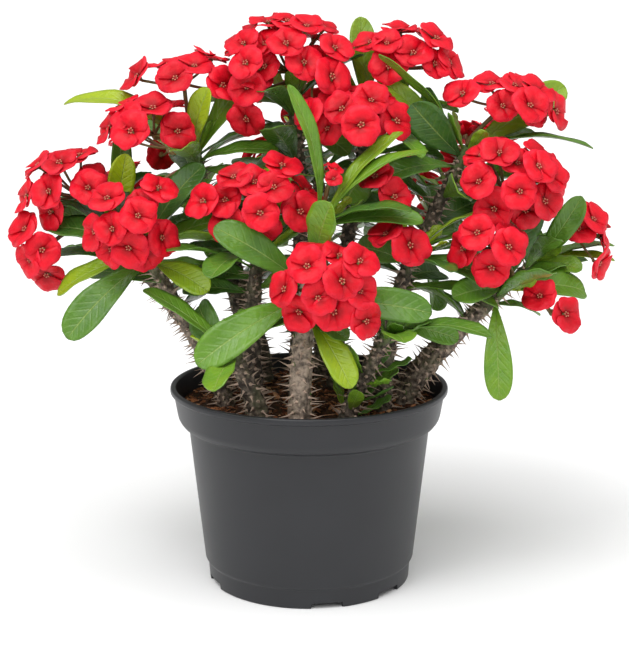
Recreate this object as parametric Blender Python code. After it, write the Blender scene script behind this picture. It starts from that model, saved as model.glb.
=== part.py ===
# A crown of thorns plant in its nursery pot.
# Units are metres, +Z is up, and the origin is the middle of the pot's underside.
# Leafy stems stand in the soil, and each flower head stands on the growing tip of a stem.
import math
import random
from collections import namedtuple

import bmesh
import bpy
from mathutils import Matrix, Quaternion, Vector
from mathutils.bvhtree import BVHTree

MM = 0.001
UP = Vector((0.0, 0.0, 1.0))
GOLDEN_TURN = math.radians(137.5)
PIECE_GAP = 0.3 * MM

# Pot, a thin injection-moulded shell with a deep rim band and a foot ring
RIM_RADIUS = 85.0 * MM
POT_HEIGHT = 122.0 * MM
BAND_DEPTH = 23.0 * MM
BODY_TOP_RADIUS = 74.0 * MM
BODY_FOOT_RADIUS = 64.8 * MM
FOOT_RADIUS = 63.0 * MM
FOOT_HEIGHT = 12.5 * MM
POT_WALL = 1.6 * MM
CHANNEL_HEIGHT = 4.0 * MM
CHANNEL_INNER = 44.0 * MM
CHANNEL_OUTER = 59.5 * MM
POT_SIDES = 24
NOTCH_BEARINGS = (10.0, 51.0, 130.0, 171.0, 250.0, 291.0)
NOTCH_WIDTH = 19.0 * MM
NOTCH_HEIGHT = 3.4 * MM
DRAIN_BEARINGS = (30.0, 120.0, 210.0, 300.0)
DRAIN_RADIUS = 4.5 * MM

# Soil
SOIL_TOP = 110.0 * MM
SOIL_CROWN = 3.0 * MM
SOIL_SIDES = 24
STEM_DEPTH = 24.0 * MM
HOLE_GAP = 0.5 * MM

# Wood and thorns
STEM_SIDES = 6
STEM_RINGS = 6
THORN_LENGTH = 8.0 * MM
THORN_ROOT = 1.0 * MM
THORN_SPACING = 20.0 * MM
THORN_SEED = 7

# Leaves
BLADE_THICK = 1.3 * MM
PETIOLE_HALF = 1.1 * MM
LEAF_STATIONS = ((0.44, 0.90), (0.80, 1.0))
LEAF_FOLD = 0.20
FREE_FOOT = 0.25
LEAF_SEED = 21

# Blooms
BLOOM_RADIUS = 12.0 * MM
BLOOM_LOBES = 4
FRONT_LOBE = ((-0.5, 0.68), (-0.22, 1.0), (0.22, 1.0), (0.5, 0.68))
BACK_LOBE = ((0.0, 1.04),)
BLOOM_DISH = 2.2 * MM
BLOOM_THROAT = 4.2 * MM
LOBE_STEP = 1.3 * MM
STALK_RADIUS = 0.8 * MM
STALK_SIDES = 3
FREE_STALK = 0.45
PEDUNCLE_RADIUS = 1.3 * MM
PEDUNCLE_SIDES = 4
FORK_RADIUS = 2.8 * MM
HEAD_SEED = 5

CLEARANCE = 0.4 * MM

Stem = namedtuple("Stem", "name foot bend tip girth")
Leaf = namedtuple("Leaf", "stem at tip width face arch", defaults=(0.10,))
Head = namedtuple("Head", "name stem centre spread count face size", defaults=(1.0,))

# Places are in millimetres: a foot on the soil, a bend that pulls the stem, and its growing tip.
STEMS = (
    Stem("stem_left", (-50, -12), (-66, -14, 148), (-99, -20, 212), 5.6),
    Stem("stem_upper_left", (-34, 8), (-46, 8, 190), (-70, 10, 264), 5.4),
    Stem("stem_front", (-5, -52), (-8, -54, 172), (8, -42, 231), 7.0),
    Stem("stem_centre_right", (44, -22), (44, -22, 165), (62, -25, 210), 5.6),
    Stem("stem_right", (58, -8), (76, -12, 142), (118, -18, 187), 5.8),
    Stem("stem_upper_right", (38, 10), (64, 8, 205), (95, 5, 266), 5.4),
    Stem("stem_top", (-8, 12), (2, 14, 205), (-10, 18, 298), 5.6),
    Stem("stem_top_right", (16, 30), (20, 30, 205), (38, 25, 286), 5.4),
    Stem("stem_far_left", (-52, 22), (-86, 18, 165), (-122, 8, 220), 5.4),
    Stem("stem_centre_left", (-32, -32), (-40, -36, 165), (-28, -20, 210), 6.0),
    Stem("stem_back_left", (-28, 48), (-44, 70, 190), (-80, 92, 238), 5.4),
    Stem("stem_back", (8, 58), (8, 84, 200), (5, 106, 262), 5.4),
    Stem("stem_back_right", (46, 38), (62, 58, 190), (92, 82, 236), 5.4),
    Stem("stem_far_right", (57, 20), (98, 22, 156), (142, 28, 194), 5.2),
    Stem("stem_low_left", (-28, -47), (-35, -53, 132), (-44, -56, 156), 6.4),
    Stem("stem_low_right", (22, -44), (34, -46, 138), (46, -52, 166), 5.4),
)

# Flower heads: the middle of the dome of blooms, its half sizes, and the way it looks.
HEADS = (
    Head("head_far_left", "stem_far_left", (-143, 0, 244), (27, 22, 20), 8, (-0.5, -0.5, 0.7)),
    Head("head_far_left_low", "stem_far_left", (-160, -8, 207), (12, 10, 14), 3, (-0.4, -0.9, 0.0)),
    Head("head_left", "stem_left", (-103, -42, 226), (22, 18, 21), 6, (-0.1, -0.9, 0.4)),
    Head("head_upper_left_low", "stem_upper_left", (-94, -8, 281), (26, 18, 15), 6, (-0.3, -0.5, 0.8)),
    Head("head_upper_left", "stem_upper_left", (-75, 6, 308), (23, 16, 10), 6, (-0.1, -0.5, 0.9)),
    Head("head_centre", "stem_centre_left", (-31, -42, 240), (35, 18, 18), 9, (0.0, -0.8, 0.6)),
    Head("head_top", "stem_top", (-12, 8, 321), (35, 26, 22), 11, (0.0, -0.4, 0.9)),
    Head("head_top_low", "stem_top", (-36, -8, 298), (14, 10, 15), 4, (-0.5, -0.8, 0.2)),
    Head("head_crown", "stem_top_right", (25, -14, 289), (28, 18, 15), 7, (0.0, -0.8, 0.6)),
    Head("head_top_right", "stem_top_right", (58, 18, 320), (29, 22, 17), 8, (0.3, -0.4, 0.9)),
    Head("head_upper_right", "stem_upper_right", (117, 4, 295), (27, 16, 11), 6, (0.3, -0.5, 0.8)),
    Head("head_right", "stem_upper_right", (117, -28, 250), (28, 22, 23), 9, (0.2, -0.8, 0.6)),
    Head("head_right_low", "stem_right", (106, -46, 214), (17, 12, 15), 5, (0.0, -1.0, 0.2)),
    Head("head_low_right", "stem_right", (145, -26, 171), (9, 8, 7), 2, (0.2, -1.0, 0.1)),
    Head("head_far_right", "stem_far_right", (171, 26, 211), (12, 16, 15), 5, (0.9, -0.4, 0.2)),
    Head("head_front", "stem_front", (9, -79, 197), (25, 13, 21), 7, (0.0, -1.0, 0.25)),
    Head("head_buds", "stem_front", (12, -42, 256), (6, 6, 4), 3, (0.0, -0.3, 1.0), 0.45),
    Head("head_inner_high", "stem_centre_right", (45, -37, 243), (7, 5, 8), 2, (0.0, -1.0, 0.2)),
    Head("head_inner_low", "stem_centre_right", (52, -50, 215), (9, 6, 5), 2, (0.0, -1.0, 0.3)),
    Head("head_back_left", "stem_back_left", (-95, 104, 262), (26, 20, 16), 7, (-0.3, 0.6, 0.7)),
    Head("head_back_left_low", "stem_back_left", (-118, 92, 226), (16, 14, 14), 4, (-0.7, 0.7, 0.1)),
    Head("head_back", "stem_back", (2, 122, 286), (28, 20, 16), 7, (0.0, 0.6, 0.8)),
    Head("head_back_low", "stem_back", (-30, 132, 240), (15, 12, 13), 4, (-0.3, 1.0, 0.1)),
    Head("head_back_right", "stem_back_right", (108, 94, 259), (26, 20, 16), 7, (0.4, 0.6, 0.7)),
    Head("head_back_right_low", "stem_back_right", (72, 124, 226), (17, 13, 14), 4, (0.1, 1.0, 0.1)),
)

# Leaves that the picture shows singly: share of the stem, tip, width and the way the blade looks.
LEAVES = (
    Leaf("stem_left", 0.92, (-140, -46, 160), 22, (-0.2, -0.8, 0.5)),
    Leaf("stem_left", 0.94, (-152, -16, 186), 17, (0.0, -0.5, 0.9)),
    Leaf("stem_left", 0.90, (-58, -42, 187), 17, (0.1, -0.8, 0.6)),
    Leaf("stem_left", 0.86, (-178, 0, 195), 11, (0.0, -0.3, 1.0)),
    Leaf("stem_left", 0.97, (-46, -36, 214), 14, (0.0, 0.4, 0.9)),
    Leaf("stem_left", 0.95, (-50, -10, 224), 15, (0.0, -0.5, 0.9)),
    Leaf("stem_left", 0.98, (-61, -22, 258), 18, (-0.5, -0.8, 0.4)),
    Leaf("stem_left", 0.96, (-156, -4, 219), 19, (0.0, -0.6, 0.8)),
    Leaf("stem_far_left", 0.96, (-107, -14, 264), 16, (0.0, -1.0, 0.2), 0.04),
    Leaf("stem_far_left", 0.98, (-128, 14, 275), 14, (0.3, -0.7, 0.4)),
    Leaf("stem_far_left", 0.93, (-92, -2, 243), 13, (0.0, -0.6, 0.8)),
    Leaf("stem_upper_left", 0.97, (-149, 14, 290), 15, (0.2, -0.5, 0.8), 0.24),
    Leaf("stem_upper_left", 0.97, (-37, -2, 335), 17, (-0.7, -0.7, 0.3)),
    Leaf("stem_upper_left", 0.98, (-56, -12, 302), 16, (-0.4, -0.9, 0.2)),
    Leaf("stem_upper_left", 0.95, (-18, -4, 264), 15, (0.0, -0.5, 0.9)),
    Leaf("stem_upper_left", 0.92, (-24, 6, 240), 15, (0.0, -0.6, 0.8)),
    Leaf("stem_front", 0.97, (-46, -22, 286), 12, (0.3, -0.5, 0.8)),
    Leaf("stem_front", 0.98, (-10, -38, 270), 15, (-0.3, -0.9, 0.3)),
    Leaf("stem_front", 0.98, (54, -30, 278), 13, (-0.5, -0.5, 0.7)),
    Leaf("stem_front", 0.96, (68, -38, 268), 12, (0.0, -0.3, 0.9), 0.16),
    Leaf("stem_front", 0.80, (26, -66, 243), 21, (0.1, -1.0, 0.2), 0.05),
    Leaf("stem_front", 0.95, (65, -50, 229), 15, (0.0, -0.5, 0.9)),
    Leaf("stem_front", 0.97, (-14, -8, 291), 15, (-0.4, -0.8, 0.3)),
    Leaf("stem_front", 0.62, (-63, -74, 151), 23, (-0.2, -0.9, 0.5)),
    Leaf("stem_front", 0.55, (24, -80, 139), 17, (0.2, -0.9, 0.4)),
    Leaf("stem_front", 0.68, (-54, -52, 227), 20, (-0.3, -0.8, 0.6)),
    Leaf("stem_front", 0.62, (70, -60, 178), 20, (0.0, -0.9, 0.5)),
    Leaf("stem_front", 0.52, (22, -68, 164), 13, (0.2, -0.7, 0.7)),
    Leaf("stem_centre_right", 0.95, (93, -36, 239), 10, (-0.4, 0.2, 0.9)),
    Leaf("stem_centre_right", 0.93, (105, -40, 193), 17, (0.0, -0.5, 0.9)),
    Leaf("stem_centre_right", 0.90, (28, -30, 212), 18, (0.0, -0.8, 0.5)),
    Leaf("stem_centre_right", 0.55, (88, -34, 157), 14, (0.0, -0.9, 0.4)),
    Leaf("stem_upper_right", 0.95, (62, -18, 293), 22, (-0.3, -1.0, 0.2), 0.04),
    Leaf("stem_upper_right", 0.96, (70, 10, 301), 13, (-0.6, -0.5, 0.3)),
    Leaf("stem_upper_right", 0.90, (43, -28, 251), 17, (0.0, -0.6, 0.8)),
    Leaf("stem_upper_right", 0.98, (130, 14, 330), 20, (-0.4, -0.9, 0.2), 0.05),
    Leaf("stem_upper_right", 0.97, (168, -5, 266), 13, (0.0, -0.1, 1.0), 0.12),
    Leaf("stem_upper_right", 0.98, (50, -6, 332), 10, (-0.7, -0.2, 0.6), -0.08),
    Leaf("stem_upper_right", 0.94, (42, -8, 308), 13, (-0.3, -0.6, 0.7)),
    Leaf("stem_right", 0.96, (83, -44, 184), 17, (0.0, -0.8, 0.6)),
    Leaf("stem_right", 0.90, (112, -42, 122), 17, (-0.1, -0.9, 0.3), 0.06),
    Leaf("stem_right", 0.97, (176, -14, 177), 20, (0.0, -0.7, 0.8)),
    Leaf("stem_right", 0.86, (140, 2, 164), 10, (0.0, -0.4, 0.9)),
    Leaf("stem_right", 0.98, (151, -18, 235), 22, (0.2, -1.0, 0.2), 0.04),
    Leaf("stem_far_right", 0.97, (190, 24, 193), 11, (0.0, -0.2, 1.0)),
    Leaf("stem_far_right", 0.95, (166, 6, 188), 14, (0.0, -0.6, 0.8)),
    Leaf("stem_far_right", 0.98, (166, 4, 237), 16, (0.3, -0.9, 0.3)),
    Leaf("stem_top_right", 0.98, (31, 34, 342), 16, (0.0, -1.0, 0.1), 0.03),
    Leaf("stem_top_right", 0.97, (24, 16, 335), 19, (0.0, -0.9, 0.3)),
    Leaf("stem_top_right", 0.96, (49, 2, 321), 21, (0.0, -0.9, -0.1), 0.04),
    Leaf("stem_top", 0.95, (-62, 24, 292), 14, (0.0, -0.5, 0.9)),
    Leaf("stem_top", 0.90, (24, 2, 262), 16, (0.0, -0.7, 0.6)),
)

# Leaves that a rule adds round each tip: stem and how many it tries.
FILL_LEAVES = {
    "stem_left": 2, "stem_upper_left": 3, "stem_front": 1, "stem_centre_right": 3,
    "stem_right": 3, "stem_upper_right": 2, "stem_top": 5, "stem_top_right": 4,
    "stem_far_left": 4, "stem_centre_left": 5, "stem_back_left": 8, "stem_back": 8,
    "stem_back_right": 8, "stem_far_right": 4, "stem_low_left": 3, "stem_low_right": 3,
}

Blade = namedtuple("Blade", "node base tip width face arch")
Bloom = namedtuple("Bloom", "node place face turn size fork")


def point(xyz):
    return Vector(xyz) * MM


def stem_point(stem, share):
    """A point on the stem's axis: 0 is the soil line and 1 the growing tip; below 0 it runs straight down."""
    foot = Vector((stem.foot[0], stem.foot[1], SOIL_TOP / MM)) * MM
    if share < 0.0:
        return foot + UP * (share * STEM_DEPTH)
    bend, tip = point(stem.bend), point(stem.tip)
    # A cubic curve that leaves the soil upright and bends towards the tip.
    first = foot.lerp(Vector((foot.x, foot.y, bend.z)), 0.4).lerp(bend, 0.25)
    second = bend.lerp(tip, 0.35)
    rest = 1.0 - share
    return (
        rest ** 3 * foot + 3 * rest ** 2 * share * first
        + 3 * rest * share ** 2 * second + share ** 3 * tip
    )


def stem_heading(stem, share):
    step = 0.01
    return (stem_point(stem, share) - stem_point(stem, share - step)).normalized()


def stem_radius(stem, share):
    return stem.girth * MM * (1.0 - 0.38 * max(0.0, share))


def across(heading, towards):
    """The unit vector nearest to towards that is square to heading."""
    flat = Vector(towards) - heading * Vector(towards).dot(heading)
    if flat.length < 1e-4:
        flat = heading.orthogonal()
    return flat.normalized()


def tube(points, radii, sides, first_side=None):
    """Vertices and faces of a closed tube through the points."""
    verts, faces = [], []
    side = Vector(first_side or (1.0, 0.0, 0.0))
    for i, (place, radius) in enumerate(zip(points, radii)):
        before, after = points[max(i - 1, 0)], points[min(i + 1, len(points) - 1)]
        heading = (after - before).normalized()
        side = across(heading, side)
        other = heading.cross(side)
        for k in range(sides):
            angle = 2.0 * math.pi * k / sides
            verts.append(place + (side * math.cos(angle) + other * math.sin(angle)) * radius)
    for i in range(len(points) - 1):
        for k in range(sides):
            a, b = i * sides + k, i * sides + (k + 1) % sides
            faces.append((a, b, b + sides, a + sides))
    faces.append(tuple(reversed(range(sides))))
    last = (len(points) - 1) * sides
    faces.append(tuple(range(last, last + sides)))
    return verts, faces


def blade_shape(blade, grow=0.0):
    """A thin arched leaf: a narrow foot, stations folded along the midrib, and a tip."""
    along = blade.tip - blade.base
    length = along.length
    face = across(along.normalized(), blade.face)
    half = blade.width * 0.5 + grow
    thick = BLADE_THICK * 0.5 + grow
    bow = blade.base.lerp(blade.tip, 0.5) + face * (2.0 * blade.arch * length)

    def rib(t):
        return blade.base * (1 - t) ** 2 + bow * (2 * t * (1 - t)) + blade.tip * t ** 2

    def normal(t):
        ahead = (rib(t + 0.01) - rib(t - 0.01)).normalized()
        return across(ahead, face), ahead

    # Each ring holds the left edge, the upper midrib, the right edge and the lower midrib.
    verts, faces = [], []
    for t, share in ((0.0, None),) + LEAF_STATIONS:
        up, ahead = normal(max(t, 0.02))
        side = ahead.cross(up)
        reach = PETIOLE_HALF + grow if share is None else half * share
        fold = up * (0.0 if share is None else LEAF_FOLD * reach)
        middle = rib(t)
        verts += [middle + side * reach + fold, middle + up * thick]
        verts += [middle - side * reach + fold, middle - up * thick]
    verts.append(rib(1.0) + normal(0.98)[1] * grow)
    end = len(verts) - 1
    faces.append((0, 1, 2, 3))
    for first in range(0, end - 4, 4):
        for k in range(4):
            a, b = first + k, first + (k + 1) % 4
            faces.append((a, b, b + 4))
            faces.append((a, b + 4, a + 4))
    for k in range(4):
        faces.append((end - 4 + k, end - 4 + (k + 1) % 4, end))
    return verts, faces


def bloom_frame(bloom):
    """Axes of a bloom: two across it, and the way that it looks."""
    look = bloom.face.normalized()
    side = across(look, UP if abs(look.z) < 0.95 else Vector((0.0, 1.0, 0.0)))
    side = Quaternion(look, bloom.turn) @ side
    return side, look.cross(side), look


def bloom_shape(bloom, grow=0.0, root=0.0):
    """A dished bloom with four rounded bracts, two in front of the other two, on its own thin stalk."""
    side, other, look = bloom_frame(bloom)
    radius = BLOOM_RADIUS * bloom.size + grow
    verts = []
    for lobe in range(BLOOM_LOBES):
        in_front = lobe % 2 == 0
        for offset, reach in FRONT_LOBE if in_front else BACK_LOBE:
            angle = 2.0 * math.pi * (lobe + offset) / BLOOM_LOBES
            lift = 0.0 if in_front else -LOBE_STEP
            outwards = side * math.cos(angle) + other * math.sin(angle)
            verts.append(bloom.place + outwards * (radius * reach) + look * lift)
    rim = len(verts)
    verts.append(bloom.place - look * (BLOOM_DISH * bloom.size - grow))
    back = bloom.place - look * ((BLOOM_THROAT + BLOOM_DISH) * bloom.size + grow)
    along = (back - bloom.fork).normalized()
    start = bloom.fork.lerp(back, root)
    for place, heading in ((back, (look + along).normalized()), (start, along)):
        first = across(heading, side)
        second = heading.cross(first)
        for k in range(STALK_SIDES):
            angle = 2.0 * math.pi * (k + 0.5) / STALK_SIDES
            outwards = first * math.cos(angle) + second * math.sin(angle)
            verts.append(place + outwards * (STALK_RADIUS + grow))
    faces = []
    for k in range(rim):
        after = (k + 1) % rim
        neck = rim + 1 + k * STALK_SIDES // rim
        next_neck = rim + 1 + (k + 1) * STALK_SIDES // rim % STALK_SIDES
        faces.append((k, after, rim))
        faces.append((after, k, neck))
        if next_neck != neck:
            faces.append((after, neck, next_neck))
    for k in range(STALK_SIDES):
        a, b = rim + 1 + k, rim + 1 + (k + 1) % STALK_SIDES
        faces.append((a, b, b + STALK_SIDES))
        faces.append((a, b + STALK_SIDES, a + STALK_SIDES))
    faces.append(tuple(range(rim + 1 + STALK_SIDES, rim + 1 + 2 * STALK_SIDES)))
    return verts, faces


def boxes_meet(a, b):
    return all(a[0][k] <= b[1][k] and b[0][k] <= a[1][k] for k in range(3))


class Room:
    """Keeps what is already placed, so that a new leaf or bloom can be bent clear of other nodes."""

    def __init__(self):
        self.placed = []

    @staticmethod
    def measured(shape):
        verts, faces = shape
        low = tuple(min(v[k] for v in verts) for k in range(3))
        high = tuple(max(v[k] for v in verts) for k in range(3))
        return BVHTree.FromPolygons(verts, faces), (low, high)

    def add(self, node, shape):
        tree, box = self.measured(shape)
        self.placed.append((node, tree, box))

    def is_clear(self, node, shape):
        tree, box = self.measured(shape)
        return not any(
            other != node and boxes_meet(box, other_box) and tree.overlap(other_tree)
            for other, other_tree, other_box in self.placed
        )

    def has(self, node, shape):
        """Whether the shape crosses one that stands under this very name."""
        tree, box = self.measured(shape)
        return any(
            other == node and boxes_meet(box, other_box) and tree.overlap(other_tree)
            for other, other_tree, other_box in self.placed
        )


def wood_path(stem, low=-1.0, rings=STEM_RINGS, grow=0.0):
    shares = [low] if low < 0.0 else []
    shares += [i / (rings - 1) for i in range(rings)]
    points = [stem_point(stem, s) for s in shares]
    radii = [stem_radius(stem, s) + grow for s in shares]
    return points, radii


def peduncle_points(head, stem):
    """The reddish stalk of a head: out of the stem's tip, then round to the fork inside the dome."""
    tip = stem_point(stem, 1.0)
    heading = (tip - stem_point(stem, 1.0 - 1.0 / (STEM_RINGS - 1))).normalized()
    centre = point(head.centre)
    look = Vector(head.face).normalized()
    fork = centre - look * (min(head.spread) * 0.55 * MM)
    # Two heads on one tip start on the sides that face their own domes.
    others = [point(h.centre) for h in HEADS if h.stem == head.stem and h.name != head.name]
    towards = across(heading, centre - others[0] if others else centre - tip)
    start = tip + heading * PIECE_GAP + towards * (stem_radius(stem, 1.0) * (0.52 if others else 0.2))
    reach = (fork - start).length
    first = start + heading * (reach * 0.38)
    second = fork - look * (reach * 0.14)
    points = []
    for i in range(4):
        t = i / 3.0
        rest = 1.0 - t
        points.append(
            rest ** 3 * start + 3 * rest ** 2 * t * first
            + 3 * rest * t ** 2 * second + t ** 3 * fork
        )
    # A short straight foot keeps the end face square to the stem's tip, and a knuckle holds the stalks.
    points.insert(1, start + heading * (5.5 * MM))
    points[-1:] = [fork - look * FORK_RADIUS, fork, fork + look * (0.6 * FORK_RADIUS)]
    return points


def peduncle_shape(head, stem):
    points = peduncle_points(head, stem)
    radii = [PEDUNCLE_RADIUS] * (len(points) - 2) + [FORK_RADIUS, 0.6 * FORK_RADIUS]
    return tube(points, radii, PEDUNCLE_SIDES)


def head_blooms(head, stem, room, own):
    """Blooms over a dome by the golden turn, each bent clear of other nodes and over its neighbours."""
    draw = random.Random(f"{HEAD_SEED} {head.name}")
    look = Vector(head.face).normalized()
    centre = point(head.centre)
    spread = point(head.spread)
    fork = peduncle_points(head, stem)[-2]
    side = across(look, Vector((1.0, 0.0, 0.0)))
    other = look.cross(side)
    blooms = []
    for i in range(head.count):
        # The dome covers a little more than the half sphere that looks along the head's face.
        height = 1.0 - (i + 0.5) / head.count * 1.12
        ring = math.sqrt(max(0.0, 1.0 - height * height))
        angle = i * GOLDEN_TURN + draw.uniform(-0.25, 0.25)
        way = side * (ring * math.cos(angle)) + other * (ring * math.sin(angle)) + look * height
        place = centre + Vector(way[k] * spread[k] for k in range(3))
        face = (way * 0.75 + look * 0.55 + Vector((0.0, -0.12, 0.18))).normalized()
        turn = draw.uniform(0.0, math.pi)
        size = head.size * draw.uniform(0.93, 1.06)
        shifts = (0.0, 2.0, -2.0, 4.0, -4.0, 6.0, 8.0, -6.0)
        trials = [
            Bloom(head.name, place + (way * shift + aside * step) * MM, face, turn, size, fork)
            for step in (0.0, 3.0, -3.0) for shift in shifts
            for aside in (across(way, side), across(way, other))[:1 if step == 0.0 else 2]
        ]
        clear = [b for b in trials if room.is_clear(head.name, bloom_shape(b, CLEARANCE))]
        free = [b for b in clear if not own.has(head.name, bloom_shape(b, root=FREE_STALK))]
        if clear:
            bloom = (free or clear)[0]
            room.add(head.name, bloom_shape(bloom))
            own.add(head.name, bloom_shape(bloom, root=FREE_STALK))
            blooms.append(bloom)
    return blooms


def leaf_turns():
    """Small turns of a leaf about its foot, the smallest first: bearing and pitch in degrees."""
    steps = (0.0, 6.0, -6.0, 12.0, -12.0, 18.0, -18.0, 25.0, -25.0, 33.0, -33.0)
    pairs = [(b, p) for b in steps for p in steps]
    return sorted(pairs, key=lambda pair: (pair[0] ** 2 + pair[1] ** 2, pair))


def placed_blade(stem, leaf, room, own):
    """The leaf as laid out, or turned about its foot and at last shortened until it is clear."""
    axis = stem_point(stem, leaf.at)
    tip = point(leaf.tip)
    heading = stem_heading(stem, leaf.at)
    out = across(heading, tip - axis)
    base = axis + out * (stem_radius(stem, leaf.at) * 0.45)
    crossing = None
    for length in (1.0, 0.85, 0.7):
        for bearing, pitch in leaf_turns():
            reach = (tip - base) * length
            level = across(UP, reach)
            turn = Matrix.Rotation(math.radians(bearing), 3, UP)
            turn = Matrix.Rotation(math.radians(pitch), 3, level.cross(UP)) @ turn
            blade = Blade(
                stem.name, base, base + turn @ reach, leaf.width * MM * (0.5 + 0.5 * length),
                turn @ Vector(leaf.face), leaf.arch,
            )
            if not room.is_clear(stem.name, blade_shape(blade, CLEARANCE)):
                continue
            outer = blade._replace(base=blade.base.lerp(blade.tip, FREE_FOOT))
            if own.has(stem.name, blade_shape(outer)):
                crossing = crossing or (blade, outer)
                continue
            room.add(stem.name, blade_shape(blade))
            own.add(stem.name, blade_shape(outer))
            return blade
    if crossing:
        room.add(stem.name, blade_shape(crossing[0]))
        own.add(stem.name, blade_shape(crossing[1]))
        return crossing[0]
    return None


def fill_leaf(stem, number, draw):
    """One of the leaves that a rule sets round a tip by the golden turn, older ones lower and larger."""
    at = 0.97 - 0.028 * number
    angle = number * GOLDEN_TURN + draw.uniform(-0.3, 0.3)
    axis = stem_point(stem, at)
    outwards = Vector((axis.x, axis.y, 0.0)).normalized() * 0.35
    rise = draw.uniform(0.0, 0.75) - 0.03 * number
    way = (Vector((math.cos(angle), math.sin(angle), rise)) + outwards).normalized()
    length = draw.uniform(42.0, 66.0) * MM
    tip = (axis + way * length) / MM
    face = UP + way * -0.3 + outwards * 0.6
    return Leaf(stem.name, at, tuple(tip), draw.uniform(14.0, 20.0), tuple(face), draw.uniform(0.04, 0.14))


def laid_out():
    """Every thorn, bloom and leaf blade, in the order in which they take their room."""
    room, own = Room(), Room()
    stems = {stem.name: stem for stem in STEMS}
    for stem in STEMS:
        points, radii = wood_path(stem, grow=1.0 * MM)
        room.add(stem.name, tube(points, radii, STEM_SIDES))
    for head in HEADS:
        room.add(head.name, peduncle_shape(head, stems[head.stem]))
    thorns = {stem.name: [] for stem in STEMS}
    for stem in STEMS:
        for root, tip, radius in thorns_of(stem):
            if room.is_clear(stem.name, thorn_shape(root, tip, radius + CLEARANCE)):
                room.add(stem.name, thorn_shape(root, tip, radius))
                thorns[stem.name].append((root, tip, radius))
    blooms = {head.name: head_blooms(head, stems[head.stem], room, own) for head in HEADS}
    blades = {stem.name: [] for stem in STEMS}
    for leaf in LEAVES:
        blades[leaf.stem].append(placed_blade(stems[leaf.stem], leaf, room, own))
    for stem in STEMS:
        draw = random.Random(f"{LEAF_SEED} {stem.name}")
        for number in range(FILL_LEAVES[stem.name]):
            leaf = fill_leaf(stem, number, draw)
            blades[stem.name].append(placed_blade(stem, leaf, room, own))
    return thorns, blooms, {name: [b for b in found if b] for name, found in blades.items()}


def thorns_of(stem):
    """Foot, tip and root radius of each thorn, in a spiral up the bare wood."""
    draw = random.Random(f"{THORN_SEED} {stem.name}")
    found = []
    count = round((stem_point(stem, 1.0) - stem_point(stem, 0.0)).length / THORN_SPACING)
    for i in range(count):
        share = 0.06 + 0.86 * (i + 0.5) / count
        axis, heading = stem_point(stem, share), stem_heading(stem, share)
        side = across(heading, (1.0, 0.0, 0.0))
        out = Quaternion(heading, i * GOLDEN_TURN + draw.uniform(-0.2, 0.2)) @ side
        way = (out + heading * draw.uniform(-0.25, 0.15)).normalized()
        root = axis + out * (stem_radius(stem, share) * 0.6)
        reach = stem_radius(stem, share) * 0.4 + THORN_LENGTH * draw.uniform(0.75, 1.1)
        found.append((root, root + way * reach, THORN_ROOT))
    return found


def thorn_shape(root, tip, radius):
    """A slender three-sided spike with its root sunk in the wood."""
    way = (tip - root).normalized()
    side = way.orthogonal().normalized()
    other = way.cross(side)
    verts = [
        root + (side * math.cos(a) + other * math.sin(a)) * radius
        for a in (0.0, 2.0 * math.pi / 3.0, 4.0 * math.pi / 3.0)
    ]
    return verts + [tip], [(2, 1, 0), (0, 1, 3), (1, 2, 3), (2, 0, 3)]


def material(name, colour, roughness, metallic=0.0):
    made = bpy.data.materials.new(name)
    made.use_nodes = True
    shader = made.node_tree.nodes["Principled BSDF"]
    shader.inputs["Base Color"].default_value = (*colour, 1.0)
    shader.inputs["Roughness"].default_value = roughness
    shader.inputs["Metallic"].default_value = metallic
    return made


def new_object(name, shape, finish=None, collection=None):
    verts, faces = shape
    mesh = bpy.data.meshes.new(name)
    mesh.from_pydata([tuple(v) for v in verts], [], faces)
    model = bmesh.new()
    model.from_mesh(mesh)
    bmesh.ops.recalc_face_normals(model, faces=model.faces)
    # Four-sided faces here may be a little twisted, so all are split before any cut.
    bmesh.ops.triangulate(model, faces=model.faces)
    model.to_mesh(mesh)
    model.free()
    made = bpy.data.objects.new(name, mesh)
    (collection or bpy.context.scene.collection).objects.link(made)
    if finish:
        mesh.materials.append(finish)
    return made


def apply_modifiers(target):
    graph = bpy.context.evaluated_depsgraph_get()
    solid = bpy.data.meshes.new_from_object(target.evaluated_get(graph))
    target.modifiers.clear()
    target.data = solid


def fused(name, first, others, finish):
    """One body from a first shape and the shapes rooted in it."""
    target = new_object(name, first, finish)
    if not others:
        return target
    pieces = bpy.data.collections.new(name + "_pieces")
    bpy.context.scene.collection.children.link(pieces)
    for number, shape in enumerate(others):
        new_object(f"{name}_piece_{number}", shape, finish, pieces)
    union = target.modifiers.new("union", "BOOLEAN")
    union.operation = "UNION"
    union.operand_type = "COLLECTION"
    union.collection = pieces
    union.solver = "MANIFOLD"
    apply_modifiers(target)
    for piece in list(pieces.objects):
        bpy.data.objects.remove(piece)
    bpy.data.collections.remove(pieces)
    return target


def cut(target, cutters):
    for cutter in cutters:
        cutter.hide_render = True
        cutter.display_type = "WIRE"
        difference = target.modifiers.new(cutter.name, "BOOLEAN")
        difference.operation = "DIFFERENCE"
        difference.object = cutter
    apply_modifiers(target)
    for cutter in cutters:
        bpy.data.objects.remove(cutter)


def turned(profile, sides):
    """A solid of revolution from (radius, height) points that start and end on the axis."""
    verts, rows = [], []
    for radius, height in profile:
        if radius == 0.0:
            rows.append([len(verts)] * sides)
            verts.append(Vector((0.0, 0.0, height)))
            continue
        rows.append(list(range(len(verts), len(verts) + sides)))
        for k in range(sides):
            angle = 2.0 * math.pi * (k + 0.5) / sides
            verts.append(Vector((radius * math.cos(angle), radius * math.sin(angle), height)))
    faces = []
    for low, high in zip(rows, rows[1:]):
        for k in range(sides):
            after = (k + 1) % sides
            corners = (low[k], low[after], high[after], high[k])
            faces.append(tuple(dict.fromkeys(corners)))
    return verts, faces


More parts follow.
